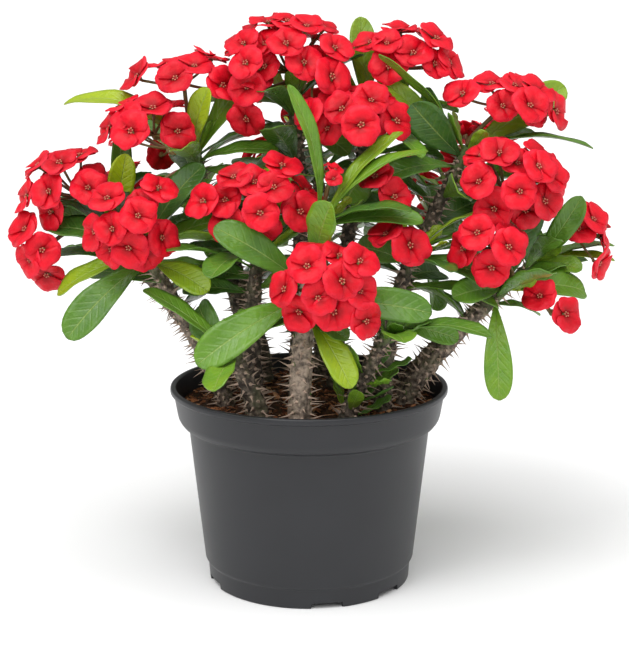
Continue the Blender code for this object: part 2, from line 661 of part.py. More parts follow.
def pot_profile():
    """Underside from the axis, up the outside, over the rim and down the inside to the axis."""
    band_foot = POT_HEIGHT - BAND_DEPTH
    floor = 2.0 * MM
    return (
        (0.0, 0.0),
        (CHANNEL_INNER - 1.0 * MM, 0.0),
        (CHANNEL_INNER, CHANNEL_HEIGHT),
        (CHANNEL_OUTER, CHANNEL_HEIGHT),
        (FOOT_RADIUS - 2.6 * MM, 0.0),
        (FOOT_RADIUS - 0.8 * MM, 0.0),
        (FOOT_RADIUS, FOOT_HEIGHT - 1.0 * MM),
        (BODY_FOOT_RADIUS, FOOT_HEIGHT + 1.0 * MM),
        (BODY_TOP_RADIUS, band_foot - 1.2 * MM),
        (BODY_TOP_RADIUS + 4.6 * MM, band_foot),
        (RIM_RADIUS - 3.8 * MM, band_foot + 3.0 * MM),
        (RIM_RADIUS - 1.3 * MM, POT_HEIGHT - 5.0 * MM),
        (RIM_RADIUS, POT_HEIGHT - 3.6 * MM),
        (RIM_RADIUS - 0.2 * MM, POT_HEIGHT - 1.0 * MM),
        (RIM_RADIUS - 1.6 * MM, POT_HEIGHT),
        (RIM_RADIUS - 3.0 * MM, POT_HEIGHT - 1.6 * MM),
        (RIM_RADIUS - 5.4 * MM, band_foot + 4.2 * MM),
        (BODY_TOP_RADIUS - POT_WALL, band_foot + 0.6 * MM),
        (BODY_FOOT_RADIUS - POT_WALL, FOOT_HEIGHT + 2.0 * MM),
        (CHANNEL_OUTER + 0.4 * MM, CHANNEL_HEIGHT + floor),
        (CHANNEL_INNER - 1.6 * MM, CHANNEL_HEIGHT + floor),
        (CHANNEL_INNER - 2.6 * MM, floor),
        (0.0, floor),
    )


def box_shape(width, depth, height, middle, bearing):
    half = Vector((width, depth, height)) * 0.5
    turn = Matrix.Rotation(bearing, 3, "Z")
    verts = [
        turn @ Vector((x * half.x, y * half.y, z * half.z)) + middle
        for x in (-1, 1) for y in (-1, 1) for z in (-1, 1)
    ]
    return verts, [
        (0, 1, 3, 2), (4, 6, 7, 5), (0, 4, 5, 1), (2, 3, 7, 6), (0, 2, 6, 4), (1, 5, 7, 3),
    ]


def bearing_of(degrees):
    """A bearing round the pot, counted from its front towards the right."""
    return math.radians(degrees) - math.pi / 2.0


def build_pot(finish):
    pot = new_object("pot", turned(pot_profile(), POT_SIDES), finish)
    cutters = []
    for number, degrees in enumerate(NOTCH_BEARINGS):
        angle = bearing_of(degrees)
        out = Vector((math.cos(angle), math.sin(angle), 0.0))
        middle = out * FOOT_RADIUS + UP * (NOTCH_HEIGHT * 0.5 - 1.0 * MM)
        shape = box_shape(7.0 * MM, NOTCH_WIDTH, NOTCH_HEIGHT + 2.0 * MM, middle, angle)
        cutters.append(new_object(f"notch_{number}", shape))
    for number, degrees in enumerate(DRAIN_BEARINGS):
        angle = bearing_of(degrees)
        hole = Vector((math.cos(angle), math.sin(angle), 0.0))
        hole = hole * (0.5 * (CHANNEL_INNER + CHANNEL_OUTER)) + UP * CHANNEL_HEIGHT
        ends = [hole - UP * (2.0 * MM), hole + UP * (4.0 * MM)]
        cutters.append(new_object(f"drain_{number}", tube(ends, [DRAIN_RADIUS] * 2, 6)))
    cut(pot, cutters)
    for face in pot.data.polygons:
        face.use_smooth = True
    pot.data.set_sharp_from_angle(angle=math.radians(30.0))
    return pot


def build_soil(finish):
    """The root ball fills the pot, a little clear of it, with a plain hole for each stem."""
    gap = PIECE_GAP + 0.3 * MM
    floor = CHANNEL_HEIGHT + 2.0 * MM + gap
    wall_foot = BODY_FOOT_RADIUS - POT_WALL - gap
    band_foot = POT_HEIGHT - BAND_DEPTH
    profile = [
        (0.0, floor),
        (CHANNEL_OUTER - 0.6 * MM, floor),
        (wall_foot, FOOT_HEIGHT + 2.6 * MM),
        (BODY_TOP_RADIUS - POT_WALL - gap, band_foot + 0.9 * MM),
        (RIM_RADIUS - 6.6 * MM, band_foot + 5.0 * MM),
        (RIM_RADIUS - 5.6 * MM, SOIL_TOP),
        (0.66 * RIM_RADIUS, SOIL_TOP + 0.4 * SOIL_CROWN),
        (0.33 * RIM_RADIUS, SOIL_TOP + SOIL_CROWN),
        (0.0, SOIL_TOP + 0.7 * SOIL_CROWN),
    ]
    verts, faces = turned(profile, SOIL_SIDES)
    draw = random.Random(11)
    for number, vert in enumerate(verts):
        if vert.z > SOIL_TOP - 0.1 * MM and vert.xy.length < 0.8 * RIM_RADIUS:
            verts[number] = vert + UP * draw.uniform(-1.4, 1.6) * MM
    soil = new_object("soil", (verts, faces), finish)
    cutters = []
    for stem in STEMS:
        path, radii = wood_path(stem, grow=HOLE_GAP)
        path[0] = path[0] - UP * HOLE_GAP
        cutters.append(new_object(stem.name + "_hole", tube(path[:3], radii[:3], STEM_SIDES)))
    cut(soil, cutters)
    return soil


def build_stem(stem, thorns, blades, finish):
    points, radii = wood_path(stem)
    rooted = [thorn_shape(*thorn) for thorn in thorns]
    rooted += [blade_shape(blade) for blade in blades]
    return fused(stem.name, tube(points, radii, STEM_SIDES), rooted, finish)


def build_head(head, stem, blooms, finish):
    rooted = [bloom_shape(bloom) for bloom in blooms]
    return fused(head.name, peduncle_shape(head, stem), rooted, finish)


def main():
    for old in list(bpy.data.objects):
        bpy.data.objects.remove(old)
    plastic = material("pot_plastic", (0.055, 0.06, 0.065), 0.45)
    earth = material("potting_soil", (0.07, 0.035, 0.02), 0.95)
    leafy = material("leaf_and_wood", (0.10, 0.22, 0.04), 0.5)
    red = material("red_bracts", (0.80, 0.01, 0.03), 0.5)
    thorns, blooms, blades = laid_out()
    stems = {stem.name: stem for stem in STEMS}
    build_pot(plastic)
    build_soil(earth)
    for stem in STEMS:
        build_stem(stem, thorns[stem.name], blades[stem.name], leafy)
    for head in HEADS:
        build_head(head, stems[head.stem], blooms[head.name], red)


main()
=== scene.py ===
"""The finished look of a crown of thorns plant in its nursery pot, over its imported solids."""
import math
import random
from collections import namedtuple

import bpy
from mathutils import Matrix, Quaternion, Vector, noise
from mathutils.bvhtree import BVHTree


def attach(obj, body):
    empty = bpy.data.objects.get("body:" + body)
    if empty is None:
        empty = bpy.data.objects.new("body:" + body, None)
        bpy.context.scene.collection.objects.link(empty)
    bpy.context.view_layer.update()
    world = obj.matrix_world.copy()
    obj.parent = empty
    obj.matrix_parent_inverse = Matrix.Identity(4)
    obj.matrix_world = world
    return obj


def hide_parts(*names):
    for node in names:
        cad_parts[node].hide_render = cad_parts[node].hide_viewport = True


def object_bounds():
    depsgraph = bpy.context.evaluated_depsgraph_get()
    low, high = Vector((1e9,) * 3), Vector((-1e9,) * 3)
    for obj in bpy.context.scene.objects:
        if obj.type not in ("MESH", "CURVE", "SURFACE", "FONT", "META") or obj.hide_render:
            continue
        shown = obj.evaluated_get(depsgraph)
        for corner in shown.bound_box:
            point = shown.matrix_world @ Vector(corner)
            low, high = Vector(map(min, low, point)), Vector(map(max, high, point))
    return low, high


bl_info = {
    "name": "Crown of Thorns Plant",
    "version": (1, 0, 0),
    "blender": (4, 5, 0),
    "location": "3D View > Sidebar > Plant",
    "description": "Dresses the solids of a crown of thorns plant in its nursery pot",
    "category": "Object",
}

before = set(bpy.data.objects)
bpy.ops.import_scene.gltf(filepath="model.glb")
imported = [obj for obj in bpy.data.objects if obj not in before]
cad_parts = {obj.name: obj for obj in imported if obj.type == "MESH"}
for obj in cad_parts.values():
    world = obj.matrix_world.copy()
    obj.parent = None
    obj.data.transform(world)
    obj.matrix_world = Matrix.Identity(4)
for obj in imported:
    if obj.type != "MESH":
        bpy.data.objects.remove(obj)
CAD_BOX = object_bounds()
BODY = "root"

MM = 0.001
UP = Vector((0.0, 0.0, 1.0))
SIDEWAYS = Vector((1.0, 0.0, 0.0))
GOLDEN_TURN = math.radians(137.5)
FULL_TURN = 2.0 * math.pi
PIECE_GAP = 0.3 * MM
CLEARANCE = 0.4 * MM

# Pot, a thin injection-moulded shell with a deep rim band and a foot ring
RIM_RADIUS = 85.0 * MM
POT_HEIGHT = 122.0 * MM
BAND_FOOT = 99.0 * MM
BODY_TOP_RADIUS = 74.0 * MM
BODY_FOOT_RADIUS = 64.8 * MM
FOOT_RADIUS = 63.0 * MM
FOOT_HEIGHT = 12.5 * MM
POT_WALL = 1.6 * MM
POT_FLOOR = 2.0 * MM
POT_FINE_SIDES = 96
FILLET_STEPS = 4
CHANNEL_HEIGHT = 4.0 * MM
CHANNEL_INNER = 44.0 * MM
CHANNEL_OUTER = 59.5 * MM
NOTCH_BEARINGS = (10.0, 51.0, 130.0, 171.0, 250.0, 291.0)
NOTCH_WIDTH = 19.0 * MM
NOTCH_HEIGHT = 3.4 * MM
DRAIN_BEARINGS = (30.0, 120.0, 210.0, 300.0)
DRAIN_RADIUS = 4.5 * MM

# Soil, with bark crumbs from flat chips to lumps, and coir strands
SOIL_TOP = 110.0 * MM
SOIL_CROWN = 3.0 * MM
SOIL_GAP = PIECE_GAP + 0.3 * MM
SOIL_EDGE = RIM_RADIUS - 6.5 * MM
SOIL_RINGS = 14
SOIL_FINE_SIDES = 72
CRUMB_LENGTHS = (1.6, 5.2)
STRAND_WIDTHS = (0.35, 0.7)
STRAND_LENGTHS = (6.0, 14.0)

# Wood and thorns
STEM_DEPTH = 24.0 * MM
STEM_TAPER = 0.38
STEM_SIDES = 6
STEM_RINGS = 6
WOOD_SAMPLES = 84
WOOD_SIDES = 20
WOOD_TIP = 0.985
THORN_LENGTH = 8.0 * MM
THORN_ROOT = 1.0 * MM
THORN_SPACING = 20.0 * MM
THORN_SEED = 7
# How pale and grey the bark of a stem is; the rest are dark.
PALE_STEMS = {"stem_front": 1.0, "stem_left": 0.7, "stem_right": 0.6, "stem_far_right": 0.6}
DARK_BARK = 0.35

# Leaves
BLADE_THICK = 1.3 * MM
PETIOLE_HALF = 1.1 * MM
LEAF_STATIONS = ((0.44, 0.90), (0.80, 1.0))
LEAF_FOLD = 0.20
FREE_FOOT = 0.25
LEAF_SEED = 21
LEAF_ROWS = 16
LEAF_COLUMNS = 8
LEAF_TURNS = (0.0, 6.0, -6.0, 12.0, -12.0, 18.0, -18.0, 25.0, -25.0, 33.0, -33.0)
LEAF_LENGTHS = (1.0, 0.85, 0.7)
SHORT_LEAF = 26.0 * MM
MORE_LEAVES = 8
MORE_BACK_LEAVES = 15
TIP_LEAVES = 6
TIP_LENGTHS = (24.0, 17.0, 11.0)
SHOOT_LEAVES = 14
SHOOT_LENGTHS = (24.0, 19.0, 14.0)
# Heights and a depth in millimetres: the lowest older leaves, those that would hide wood in
# front, and where the back row of stems begins.
LOWEST_MORE = 172.0
LOWEST_BACK = 135.0
HIDING_LEAF = 220.0
BACK_ROW = 35.0

# Blooms
BLOOM_RADIUS = 12.0 * MM
BLOOM_LOBES = 4
FRONT_LOBE = ((-0.5, 0.68), (-0.22, 1.0), (0.22, 1.0), (0.5, 0.68))
BACK_LOBE = ((0.0, 1.04),)
BLOOM_DISH = 2.2 * MM
BLOOM_THROAT = 4.2 * MM
BLOOM_NEAREST = 12.5 * MM
BLOOM_SHIFTS = (0.0, 2.0, -2.0, 4.0, -4.0, 6.0, 8.0, -6.0)
BLOOM_STEPS = (0.0, 3.0, -3.0)
LOBE_STEP = 1.3 * MM
STALK_RADIUS = 0.8 * MM
STALK_SIDES = 3
FREE_STALK = 0.45
PEDUNCLE_RADIUS = 1.3 * MM
PEDUNCLE_SIDES = 4
PEDUNCLE_FOOT = 5.5 * MM
FORK_RADIUS = 2.8 * MM
HEAD_SEED = 5
# The dome covers a little more than the half sphere that looks along the head's face.
DOME_COVER = 1.12
TIER_COVER = 1.05
TIER_DEPTHS = (0.96, 0.84, 0.70)
TIER_CROWD = 2.2
BRACT_RIM = 14
# Each pair of bracts: reach and rise in millimetres, spread, turns and how far it sinks.
BRACT_PAIRS = (
    (12.1, 4.0, 0.92, (0.0, 180.0), -2.8), (11.6, 3.0, 0.86, (90.0, 270.0), -3.7),
)
GLANDS = 5

# Each lamp: its share of the main light, its width and its turns in degrees.
LAMPS = (
    ("key", 1.0, 80.0, (30.0, -8.0, -12.0)),
    ("fill", 0.25, 90.0, (55.0, 10.0, 60.0)),
    ("spark", 0.22, 20.0, (28.0, -14.0, -10.0)),
)
CAMERA_PLACE = (0.0033, -0.938, 0.3586)
CAMERA_FALL = 12.03
CAMERA_LENS = 87.4
CAMERA_SENSOR = 36.0

Stem = namedtuple("Stem", "name foot bend tip girth")
Leaf = namedtuple("Leaf", "at tip width face arch", defaults=(0.10,))
Head = namedtuple("Head", "name stem centre spread count face size", defaults=(1.0,))
Blade = namedtuple("Blade", "node base tip width face arch")
Bloom = namedtuple("Bloom", "node place face turn size fork")
Plan = namedtuple("Plan", "thorns blooms blades room")

# Places are in millimetres: a foot on the soil, a bend that pulls the stem, and its growing tip.
STEMS = (
    Stem("stem_left", (-50, -12), (-66, -14, 148), (-99, -20, 212), 5.6),
    Stem("stem_upper_left", (-34, 8), (-46, 8, 190), (-70, 10, 264), 5.4),
    Stem("stem_front", (-5, -52), (-8, -54, 172), (8, -42, 231), 7.0),
    Stem("stem_centre_right", (44, -22), (44, -22, 165), (62, -25, 210), 5.6),
    Stem("stem_right", (58, -8), (76, -12, 142), (118, -18, 187), 5.8),
    Stem("stem_upper_right", (38, 10), (64, 8, 205), (95, 5, 266), 5.4),
    Stem("stem_top", (-8, 12), (2, 14, 205), (-10, 18, 298), 5.6),
    Stem("stem_top_right", (16, 30), (20, 30, 205), (38, 25, 286), 5.4),
    Stem("stem_far_left", (-52, 22), (-86, 18, 165), (-122, 8, 220), 5.4),
    Stem("stem_centre_left", (-32, -32), (-40, -36, 165), (-28, -20, 210), 6.0),
    Stem("stem_back_left", (-28, 48), (-44, 70, 190), (-80, 92, 238), 5.4),
    Stem("stem_back", (8, 58), (8, 84, 200), (5, 106, 262), 5.4),
    Stem("stem_back_right", (46, 38), (62, 58, 190), (92, 82, 236), 5.4),
    Stem("stem_far_right", (57, 20), (98, 22, 156), (142, 28, 194), 5.2),
    Stem("stem_low_left", (-28, -47), (-35, -53, 132), (-44, -56, 156), 6.4),
    Stem("stem_low_right", (22, -44), (34, -46, 138), (46, -52, 166), 5.4),
)
STEM_NAMED = {stem.name: stem for stem in STEMS}

# Flower heads: the middle of the dome of blooms, its half sizes, and the way it looks.
HEADS = (
    Head("head_far_left", "stem_far_left", (-143, 0, 244), (27, 22, 20), 8, (-0.5, -0.5, 0.7)),
    Head("head_far_left_low", "stem_far_left", (-160, -8, 207), (12, 10, 14), 3, (-0.4, -0.9, 0.0)),
    Head("head_left", "stem_left", (-103, -42, 226), (22, 18, 21), 6, (-0.1, -0.9, 0.4)),
    Head(
        "head_upper_left_low", "stem_upper_left", (-94, -8, 281), (26, 18, 15), 6, (-0.3, -0.5, 0.8)
    ),
    Head("head_upper_left", "stem_upper_left", (-75, 6, 308), (23, 16, 10), 6, (-0.1, -0.5, 0.9)),
    Head("head_centre", "stem_centre_left", (-31, -42, 240), (35, 18, 18), 9, (0.0, -0.8, 0.6)),
    Head("head_top", "stem_top", (-12, 8, 321), (35, 26, 22), 11, (0.0, -0.4, 0.9)),
    Head("head_top_low", "stem_top", (-36, -8, 298), (14, 10, 15), 4, (-0.5, -0.8, 0.2)),
    Head("head_crown", "stem_top_right", (25, -14, 289), (28, 18, 15), 7, (0.0, -0.8, 0.6)),
    Head("head_top_right", "stem_top_right", (58, 18, 320), (29, 22, 17), 8, (0.3, -0.4, 0.9)),
    Head("head_upper_right", "stem_upper_right", (117, 4, 295), (27, 16, 11), 6, (0.3, -0.5, 0.8)),
    Head("head_right", "stem_upper_right", (117, -28, 250), (28, 22, 23), 9, (0.2, -0.8, 0.6)),
    Head("head_right_low", "stem_right", (106, -46, 214), (17, 12, 15), 5, (0.0, -1.0, 0.2)),
    Head("head_low_right", "stem_right", (145, -26, 171), (9, 8, 7), 2, (0.2, -1.0, 0.1)),
    Head("head_far_right", "stem_far_right", (171, 26, 211), (12, 16, 15), 5, (0.9, -0.4, 0.2)),
    Head("head_front", "stem_front", (9, -79, 197), (25, 13, 21), 7, (0.0, -1.0, 0.25)),
    Head("head_buds", "stem_front", (12, -42, 256), (6, 6, 4), 3, (0.0, -0.3, 1.0), 0.45),
    Head("head_inner_high", "stem_centre_right", (45, -37, 243), (7, 5, 8), 2, (0.0, -1.0, 0.2)),
    Head("head_inner_low", "stem_centre_right", (52, -50, 215), (9, 6, 5), 2, (0.0, -1.0, 0.3)),
    Head("head_back_left", "stem_back_left", (-95, 104, 262), (26, 20, 16), 7, (-0.3, 0.6, 0.7)),
    Head(
        "head_back_left_low", "stem_back_left", (-118, 92, 226), (16, 14, 14), 4, (-0.7, 0.7, 0.1)
    ),
    Head("head_back", "stem_back", (2, 122, 286), (28, 20, 16), 7, (0.0, 0.6, 0.8)),
    Head("head_back_low", "stem_back", (-30, 132, 240), (15, 12, 13), 4, (-0.3, 1.0, 0.1)),
    Head("head_back_right", "stem_back_right", (108, 94, 259), (26, 20, 16), 7, (0.4, 0.6, 0.7)),
    Head(
        "head_back_right_low", "stem_back_right", (72, 124, 226), (17, 13, 14), 4, (0.1, 1.0, 0.1)
    ),
)

# Leaves that the picture shows singly, for each stem: the share of it where a leaf sits, the
# leaf's tip, its width and the way the blade looks, and where it isn't the usual one its arch.
LEAVES = {
    "stem_left": (
        (0.92, (-140, -46, 160), 22, (-0.2, -0.8, 0.5)),
        (0.94, (-152, -16, 186), 17, (0.0, -0.5, 0.9)),
        (0.90, (-58, -42, 187), 17, (0.1, -0.8, 0.6)),
        (0.86, (-178, 0, 195), 11, (0.0, -0.3, 1.0)), (0.97, (-46, -36, 214), 14, (0.0, 0.4, 0.9)),
        (0.95, (-50, -10, 224), 15, (0.0, -0.5, 0.9)),
        (0.98, (-61, -22, 258), 18, (-0.5, -0.8, 0.4)),
        (0.96, (-156, -4, 219), 19, (0.0, -0.6, 0.8)),
    ),
    "stem_far_left": (
        (0.96, (-107, -14, 264), 16, (0.0, -1.0, 0.2), 0.04),
        (0.98, (-128, 14, 275), 14, (0.3, -0.7, 0.4)),
        (0.93, (-92, -2, 243), 13, (0.0, -0.6, 0.8)),
    ),
    "stem_upper_left": (
        (0.97, (-149, 14, 290), 15, (0.2, -0.5, 0.8), 0.24),
        (0.97, (-37, -2, 335), 17, (-0.7, -0.7, 0.3)),
        (0.98, (-56, -12, 302), 16, (-0.4, -0.9, 0.2)),
        (0.95, (-18, -4, 264), 15, (0.0, -0.5, 0.9)), (0.92, (-24, 6, 240), 15, (0.0, -0.6, 0.8)),
    ),
    "stem_front": (
        (0.97, (-46, -22, 286), 12, (0.3, -0.5, 0.8)),
        (0.98, (-10, -38, 270), 15, (-0.3, -0.9, 0.3)),
        (0.98, (54, -30, 278), 13, (-0.5, -0.5, 0.7)),
        (0.96, (68, -38, 268), 12, (0.0, -0.3, 0.9), 0.16),
        (0.80, (26, -66, 243), 21, (0.1, -1.0, 0.2), 0.05),
        (0.95, (65, -50, 229), 15, (0.0, -0.5, 0.9)),
        (0.97, (-14, -8, 291), 15, (-0.4, -0.8, 0.3)),
        (0.62, (-63, -74, 151), 23, (-0.2, -0.9, 0.5)),
        (0.55, (24, -80, 139), 17, (0.2, -0.9, 0.4)),
        (0.68, (-54, -52, 227), 20, (-0.3, -0.8, 0.6)),
        (0.62, (70, -60, 178), 20, (0.0, -0.9, 0.5)), (0.52, (22, -68, 164), 13, (0.2, -0.7, 0.7)),
    ),
    "stem_centre_right": (
        (0.95, (93, -36, 239), 10, (-0.4, 0.2, 0.9)),
        (0.93, (105, -40, 193), 17, (0.0, -0.5, 0.9)),
        (0.90, (28, -30, 212), 18, (0.0, -0.8, 0.5)), (0.55, (88, -34, 157), 14, (0.0, -0.9, 0.4)),
    ),
    "stem_upper_right": (
        (0.95, (62, -18, 293), 22, (-0.3, -1.0, 0.2), 0.04),
        (0.96, (70, 10, 301), 13, (-0.6, -0.5, 0.3)), (0.90, (43, -28, 251), 17, (0.0, -0.6, 0.8)),
        (0.98, (130, 14, 330), 20, (-0.4, -0.9, 0.2), 0.05),
        (0.97, (168, -5, 266), 13, (0.0, -0.1, 1.0), 0.12),
        (0.98, (50, -6, 332), 10, (-0.7, -0.2, 0.6), -0.08),
        (0.94, (42, -8, 308), 13, (-0.3, -0.6, 0.7)),
    ),
    "stem_right": (
        (0.96, (83, -44, 184), 17, (0.0, -0.8, 0.6)),
        (0.90, (112, -42, 122), 17, (-0.1, -0.9, 0.3), 0.06),
        (0.97, (176, -14, 177), 20, (0.0, -0.7, 0.8)), (0.86, (140, 2, 164), 10, (0.0, -0.4, 0.9)),
        (0.98, (151, -18, 235), 22, (0.2, -1.0, 0.2), 0.04),
    ),
    "stem_far_right": (
        (0.97, (190, 24, 193), 11, (0.0, -0.2, 1.0)), (0.95, (166, 6, 188), 14, (0.0, -0.6, 0.8)),
        (0.98, (166, 4, 237), 16, (0.3, -0.9, 0.3)),
    ),
    "stem_top_right": (
        (0.98, (31, 34, 342), 16, (0.0, -1.0, 0.1), 0.03),
        (0.97, (24, 16, 335), 19, (0.0, -0.9, 0.3)),
        (0.96, (49, 2, 321), 21, (0.0, -0.9, -0.1), 0.04),
    ),
    "stem_top": (
        (0.95, (-62, 24, 292), 14, (0.0, -0.5, 0.9)), (0.90, (24, 2, 262), 16, (0.0, -0.7, 0.6)),
    ),
}

# Leaves that a rule adds round each tip: stem and how many it tries.
FILL_LEAVES = {
    "stem_left": 2, "stem_upper_left": 3, "stem_front": 1, "stem_centre_right": 3,
    "stem_right": 3, "stem_upper_right": 2, "stem_top": 5, "stem_top_right": 4,
    "stem_far_left": 4, "stem_centre_left": 5, "stem_back_left": 8, "stem_back": 8,
    "stem_back_right": 8, "stem_far_right": 4, "stem_low_left": 3, "stem_low_right": 3,
}

# How young each laid-out leaf is, from 0 for old and dark to 1 for fresh and yellow-green.
LEAF_TONES = {
    "stem_left": (0.25, 0.70, 0.68, 0.20, 0.55, 0.45, 0.12, 0.18),
    "stem_far_left": (0.95, 0.35, 0.30),
    "stem_upper_left": (0.85, 0.50, 0.85, 0.35, 0.30),
    "stem_front": (0.42, 0.90, 0.60, 0.50, 0.50, 0.30, 0.45, 0.36, 0.72, 0.25, 0.28, 0.30),
    "stem_centre_right": (0.70, 0.22, 0.25, 0.30),
    "stem_upper_right": (0.08, 0.20, 0.22, 0.62, 0.30, 0.45, 0.60),
    "stem_right": (0.30, 0.50, 0.40, 0.35, 0.12),
    "stem_far_right": (0.75, 0.50, 0.28),
    "stem_top_right": (0.60, 0.40, 0.38),
    "stem_top": (0.35, 0.25),
}


def point(xyz):
    return Vector(xyz) * MM


def quadratic(a, b, c, t):
    """A place on the curve from a to c that is pulled towards b."""
    return a * (1 - t) ** 2 + b * (2 * t * (1 - t)) + c * t ** 2


def cubic(a, b, c, d, t):
    """A place on the curve from a to d that is pulled towards b and then towards c."""
    rest = 1.0 - t
    return rest ** 3 * a + 3 * rest ** 2 * t * b + 3 * rest * t ** 2 * c + t ** 3 * d


def outward(side, other, angle):
    return side * math.cos(angle) + other * math.sin(angle)


def across(heading, towards):
    """The unit vector nearest to towards that is square to heading."""
    flat = Vector(towards) - heading * Vector(towards).dot(heading)
    if flat.length < 1e-4:
        flat = heading.orthogonal()
    return flat.normalized()


def stem_point(stem, share):
    """A place on a stem's axis: 0 is the soil line, 1 the tip; below 0 it runs straight down."""
    foot = Vector((stem.foot[0], stem.foot[1], SOIL_TOP / MM)) * MM
    if share < 0.0:
        return foot + UP * (share * STEM_DEPTH)
    bend, tip = point(stem.bend), point(stem.tip)
    # The curve leaves the soil upright and bends towards the tip.
    first = foot.lerp(Vector((foot.x, foot.y, bend.z)), 0.4).lerp(bend, 0.25)
    return cubic(foot, first, bend.lerp(tip, 0.35), tip, share)


def stem_heading(stem, share):
    return (stem_point(stem, share) - stem_point(stem, share - 0.01)).normalized()


def stem_radius(stem, share):
    return stem.girth * MM * (1.0 - STEM_TAPER * max(0.0, share))


def stem_length(stem):
    return (stem_point(stem, 1.0) - stem_point(stem, 0.0)).length


def round_stem(stem, share, angle):
    """The stem's axis and heading at a share of it, a fixed side, and the way out at an angle."""
    axis, heading = stem_point(stem, share), stem_heading(stem, share)
    side = across(heading, SIDEWAYS)
    return axis, heading, side, Quaternion(heading, angle) @ side


def tube(points, radii, sides):
    """Vertices and faces of a closed tube through the points."""
    verts, faces = [], []
    side = SIDEWAYS
    for i, (place, radius) in enumerate(zip(points, radii)):
        before, after = points[max(i - 1, 0)], points[min(i + 1, len(points) - 1)]
        heading = (after - before).normalized()
        side = across(heading, side)
        other = heading.cross(side)
        for k in range(sides):
            verts.append(place + outward(side, other, FULL_TURN * k / sides) * radius)
    for i in range(len(points) - 1):
        for k in range(sides):
            a, b = i * sides + k, i * sides + (k + 1) % sides
            faces.append((a, b, b + sides, a + sides))
    faces.append(tuple(reversed(range(sides))))
    last = (len(points) - 1) * sides
    faces.append(tuple(range(last, last + sides)))
    return verts, faces


def midrib(blade):
    """A leaf's curve as a function of 0 to 1, and one for how the blade looks and runs there."""
    along = blade.tip - blade.base
    face = across(along.normalized(), blade.face)
    bow = blade.base.lerp(blade.tip, 0.5) + face * (2.0 * blade.arch * along.length)

    def rib(t):
        return quadratic(blade.base, bow, blade.tip, t)

    def looks(t):
        ahead = (rib(t + 0.01) - rib(t - 0.01)).normalized()
        return across(ahead, face), ahead

    return rib, looks


def blade_shape(blade, grow=0.0):
    """A thin arched leaf: a narrow foot, stations folded along the midrib, and a tip."""
    rib, looks = midrib(blade)
    half, thick = blade.width * 0.5 + grow, BLADE_THICK * 0.5 + grow
    # Each ring holds the left edge, the upper midrib, the right edge and the lower midrib.
    verts, faces = [], [(0, 1, 2, 3)]
    for t, share in ((0.0, None),) + LEAF_STATIONS:
        up, ahead = looks(max(t, 0.02))
        side = ahead.cross(up)
        reach = PETIOLE_HALF + grow if share is None else half * share
        fold = up * (0.0 if share is None else LEAF_FOLD * reach)
        middle = rib(t)
        verts += [middle + side * reach + fold, middle + up * thick]
        verts += [middle - side * reach + fold, middle - up * thick]
    verts.append(rib(1.0) + looks(0.98)[1] * grow)
    end = len(verts) - 1
    for first in range(0, end, 4):
        for a, b in ((first + k, first + (k + 1) % 4) for k in range(4)):
            if first < end - 4:
                faces += [(a, b, b + 4), (a, b + 4, a + 4)]
            else:
                faces.append((a, b, end))
    return verts, faces


def bloom_frame(bloom):
    """Axes of a bloom: two across it, and the way that it looks."""
    look = bloom.face.normalized()
    side = across(look, UP if abs(look.z) < 0.95 else Vector((0.0, 1.0, 0.0)))
    side = Quaternion(look, bloom.turn) @ side
    return side, look.cross(side), look


def bloom_shape(bloom, grow=0.0, root=0.0):
    """A dished bloom on its stalk, with two rounded bracts in front of the other two."""
    side, other, look = bloom_frame(bloom)
    radius = BLOOM_RADIUS * bloom.size + grow
    verts, faces = [], []
    for lobe in range(BLOOM_LOBES):
        in_front = lobe % 2 == 0
        for offset, reach in FRONT_LOBE if in_front else BACK_LOBE:
            outwards = outward(side, other, FULL_TURN * (lobe + offset) / BLOOM_LOBES)
            lift = 0.0 if in_front else -LOBE_STEP
            verts.append(bloom.place + outwards * (radius * reach) + look * lift)
    rim = len(verts)
    verts.append(bloom.place - look * (BLOOM_DISH * bloom.size - grow))
    back = bloom.place - look * ((BLOOM_THROAT + BLOOM_DISH) * bloom.size + grow)
    along = (back - bloom.fork).normalized()
    foot = bloom.fork.lerp(back, root)
    for place, heading in ((back, (look + along).normalized()), (foot, along)):
        first = across(heading, side)
        second = heading.cross(first)
        for k in range(STALK_SIDES):
            outwards = outward(first, second, FULL_TURN * (k + 0.5) / STALK_SIDES)
            verts.append(place + outwards * (STALK_RADIUS + grow))
    for k in range(rim):
        after = (k + 1) % rim
        neck = rim + 1 + k * STALK_SIDES // rim
        next_neck = rim + 1 + (k + 1) * STALK_SIDES // rim % STALK_SIDES
        faces += [(k, after, rim), (after, k, neck)]
        if next_neck != neck:
            faces.append((after, neck, next_neck))
    for k in range(STALK_SIDES):
        a, b = rim + 1 + k, rim + 1 + (k + 1) % STALK_SIDES
        faces += [(a, b, b + STALK_SIDES), (a, b + STALK_SIDES, a + STALK_SIDES)]
    faces.append(tuple(range(rim + 1 + STALK_SIDES, rim + 1 + 2 * STALK_SIDES)))
    return verts, faces


def thorn_shape(root, tip, radius):
    """A slender three-sided spike with its root sunk in the wood."""
    way = (tip - root).normalized()
    side = way.orthogonal().normalized()
    other = way.cross(side)
    verts = [root + outward(side, other, FULL_TURN * k / 3.0) * radius for k in range(3)]
    return verts + [tip], [(2, 1, 0), (0, 1, 3), (1, 2, 3), (2, 0, 3)]


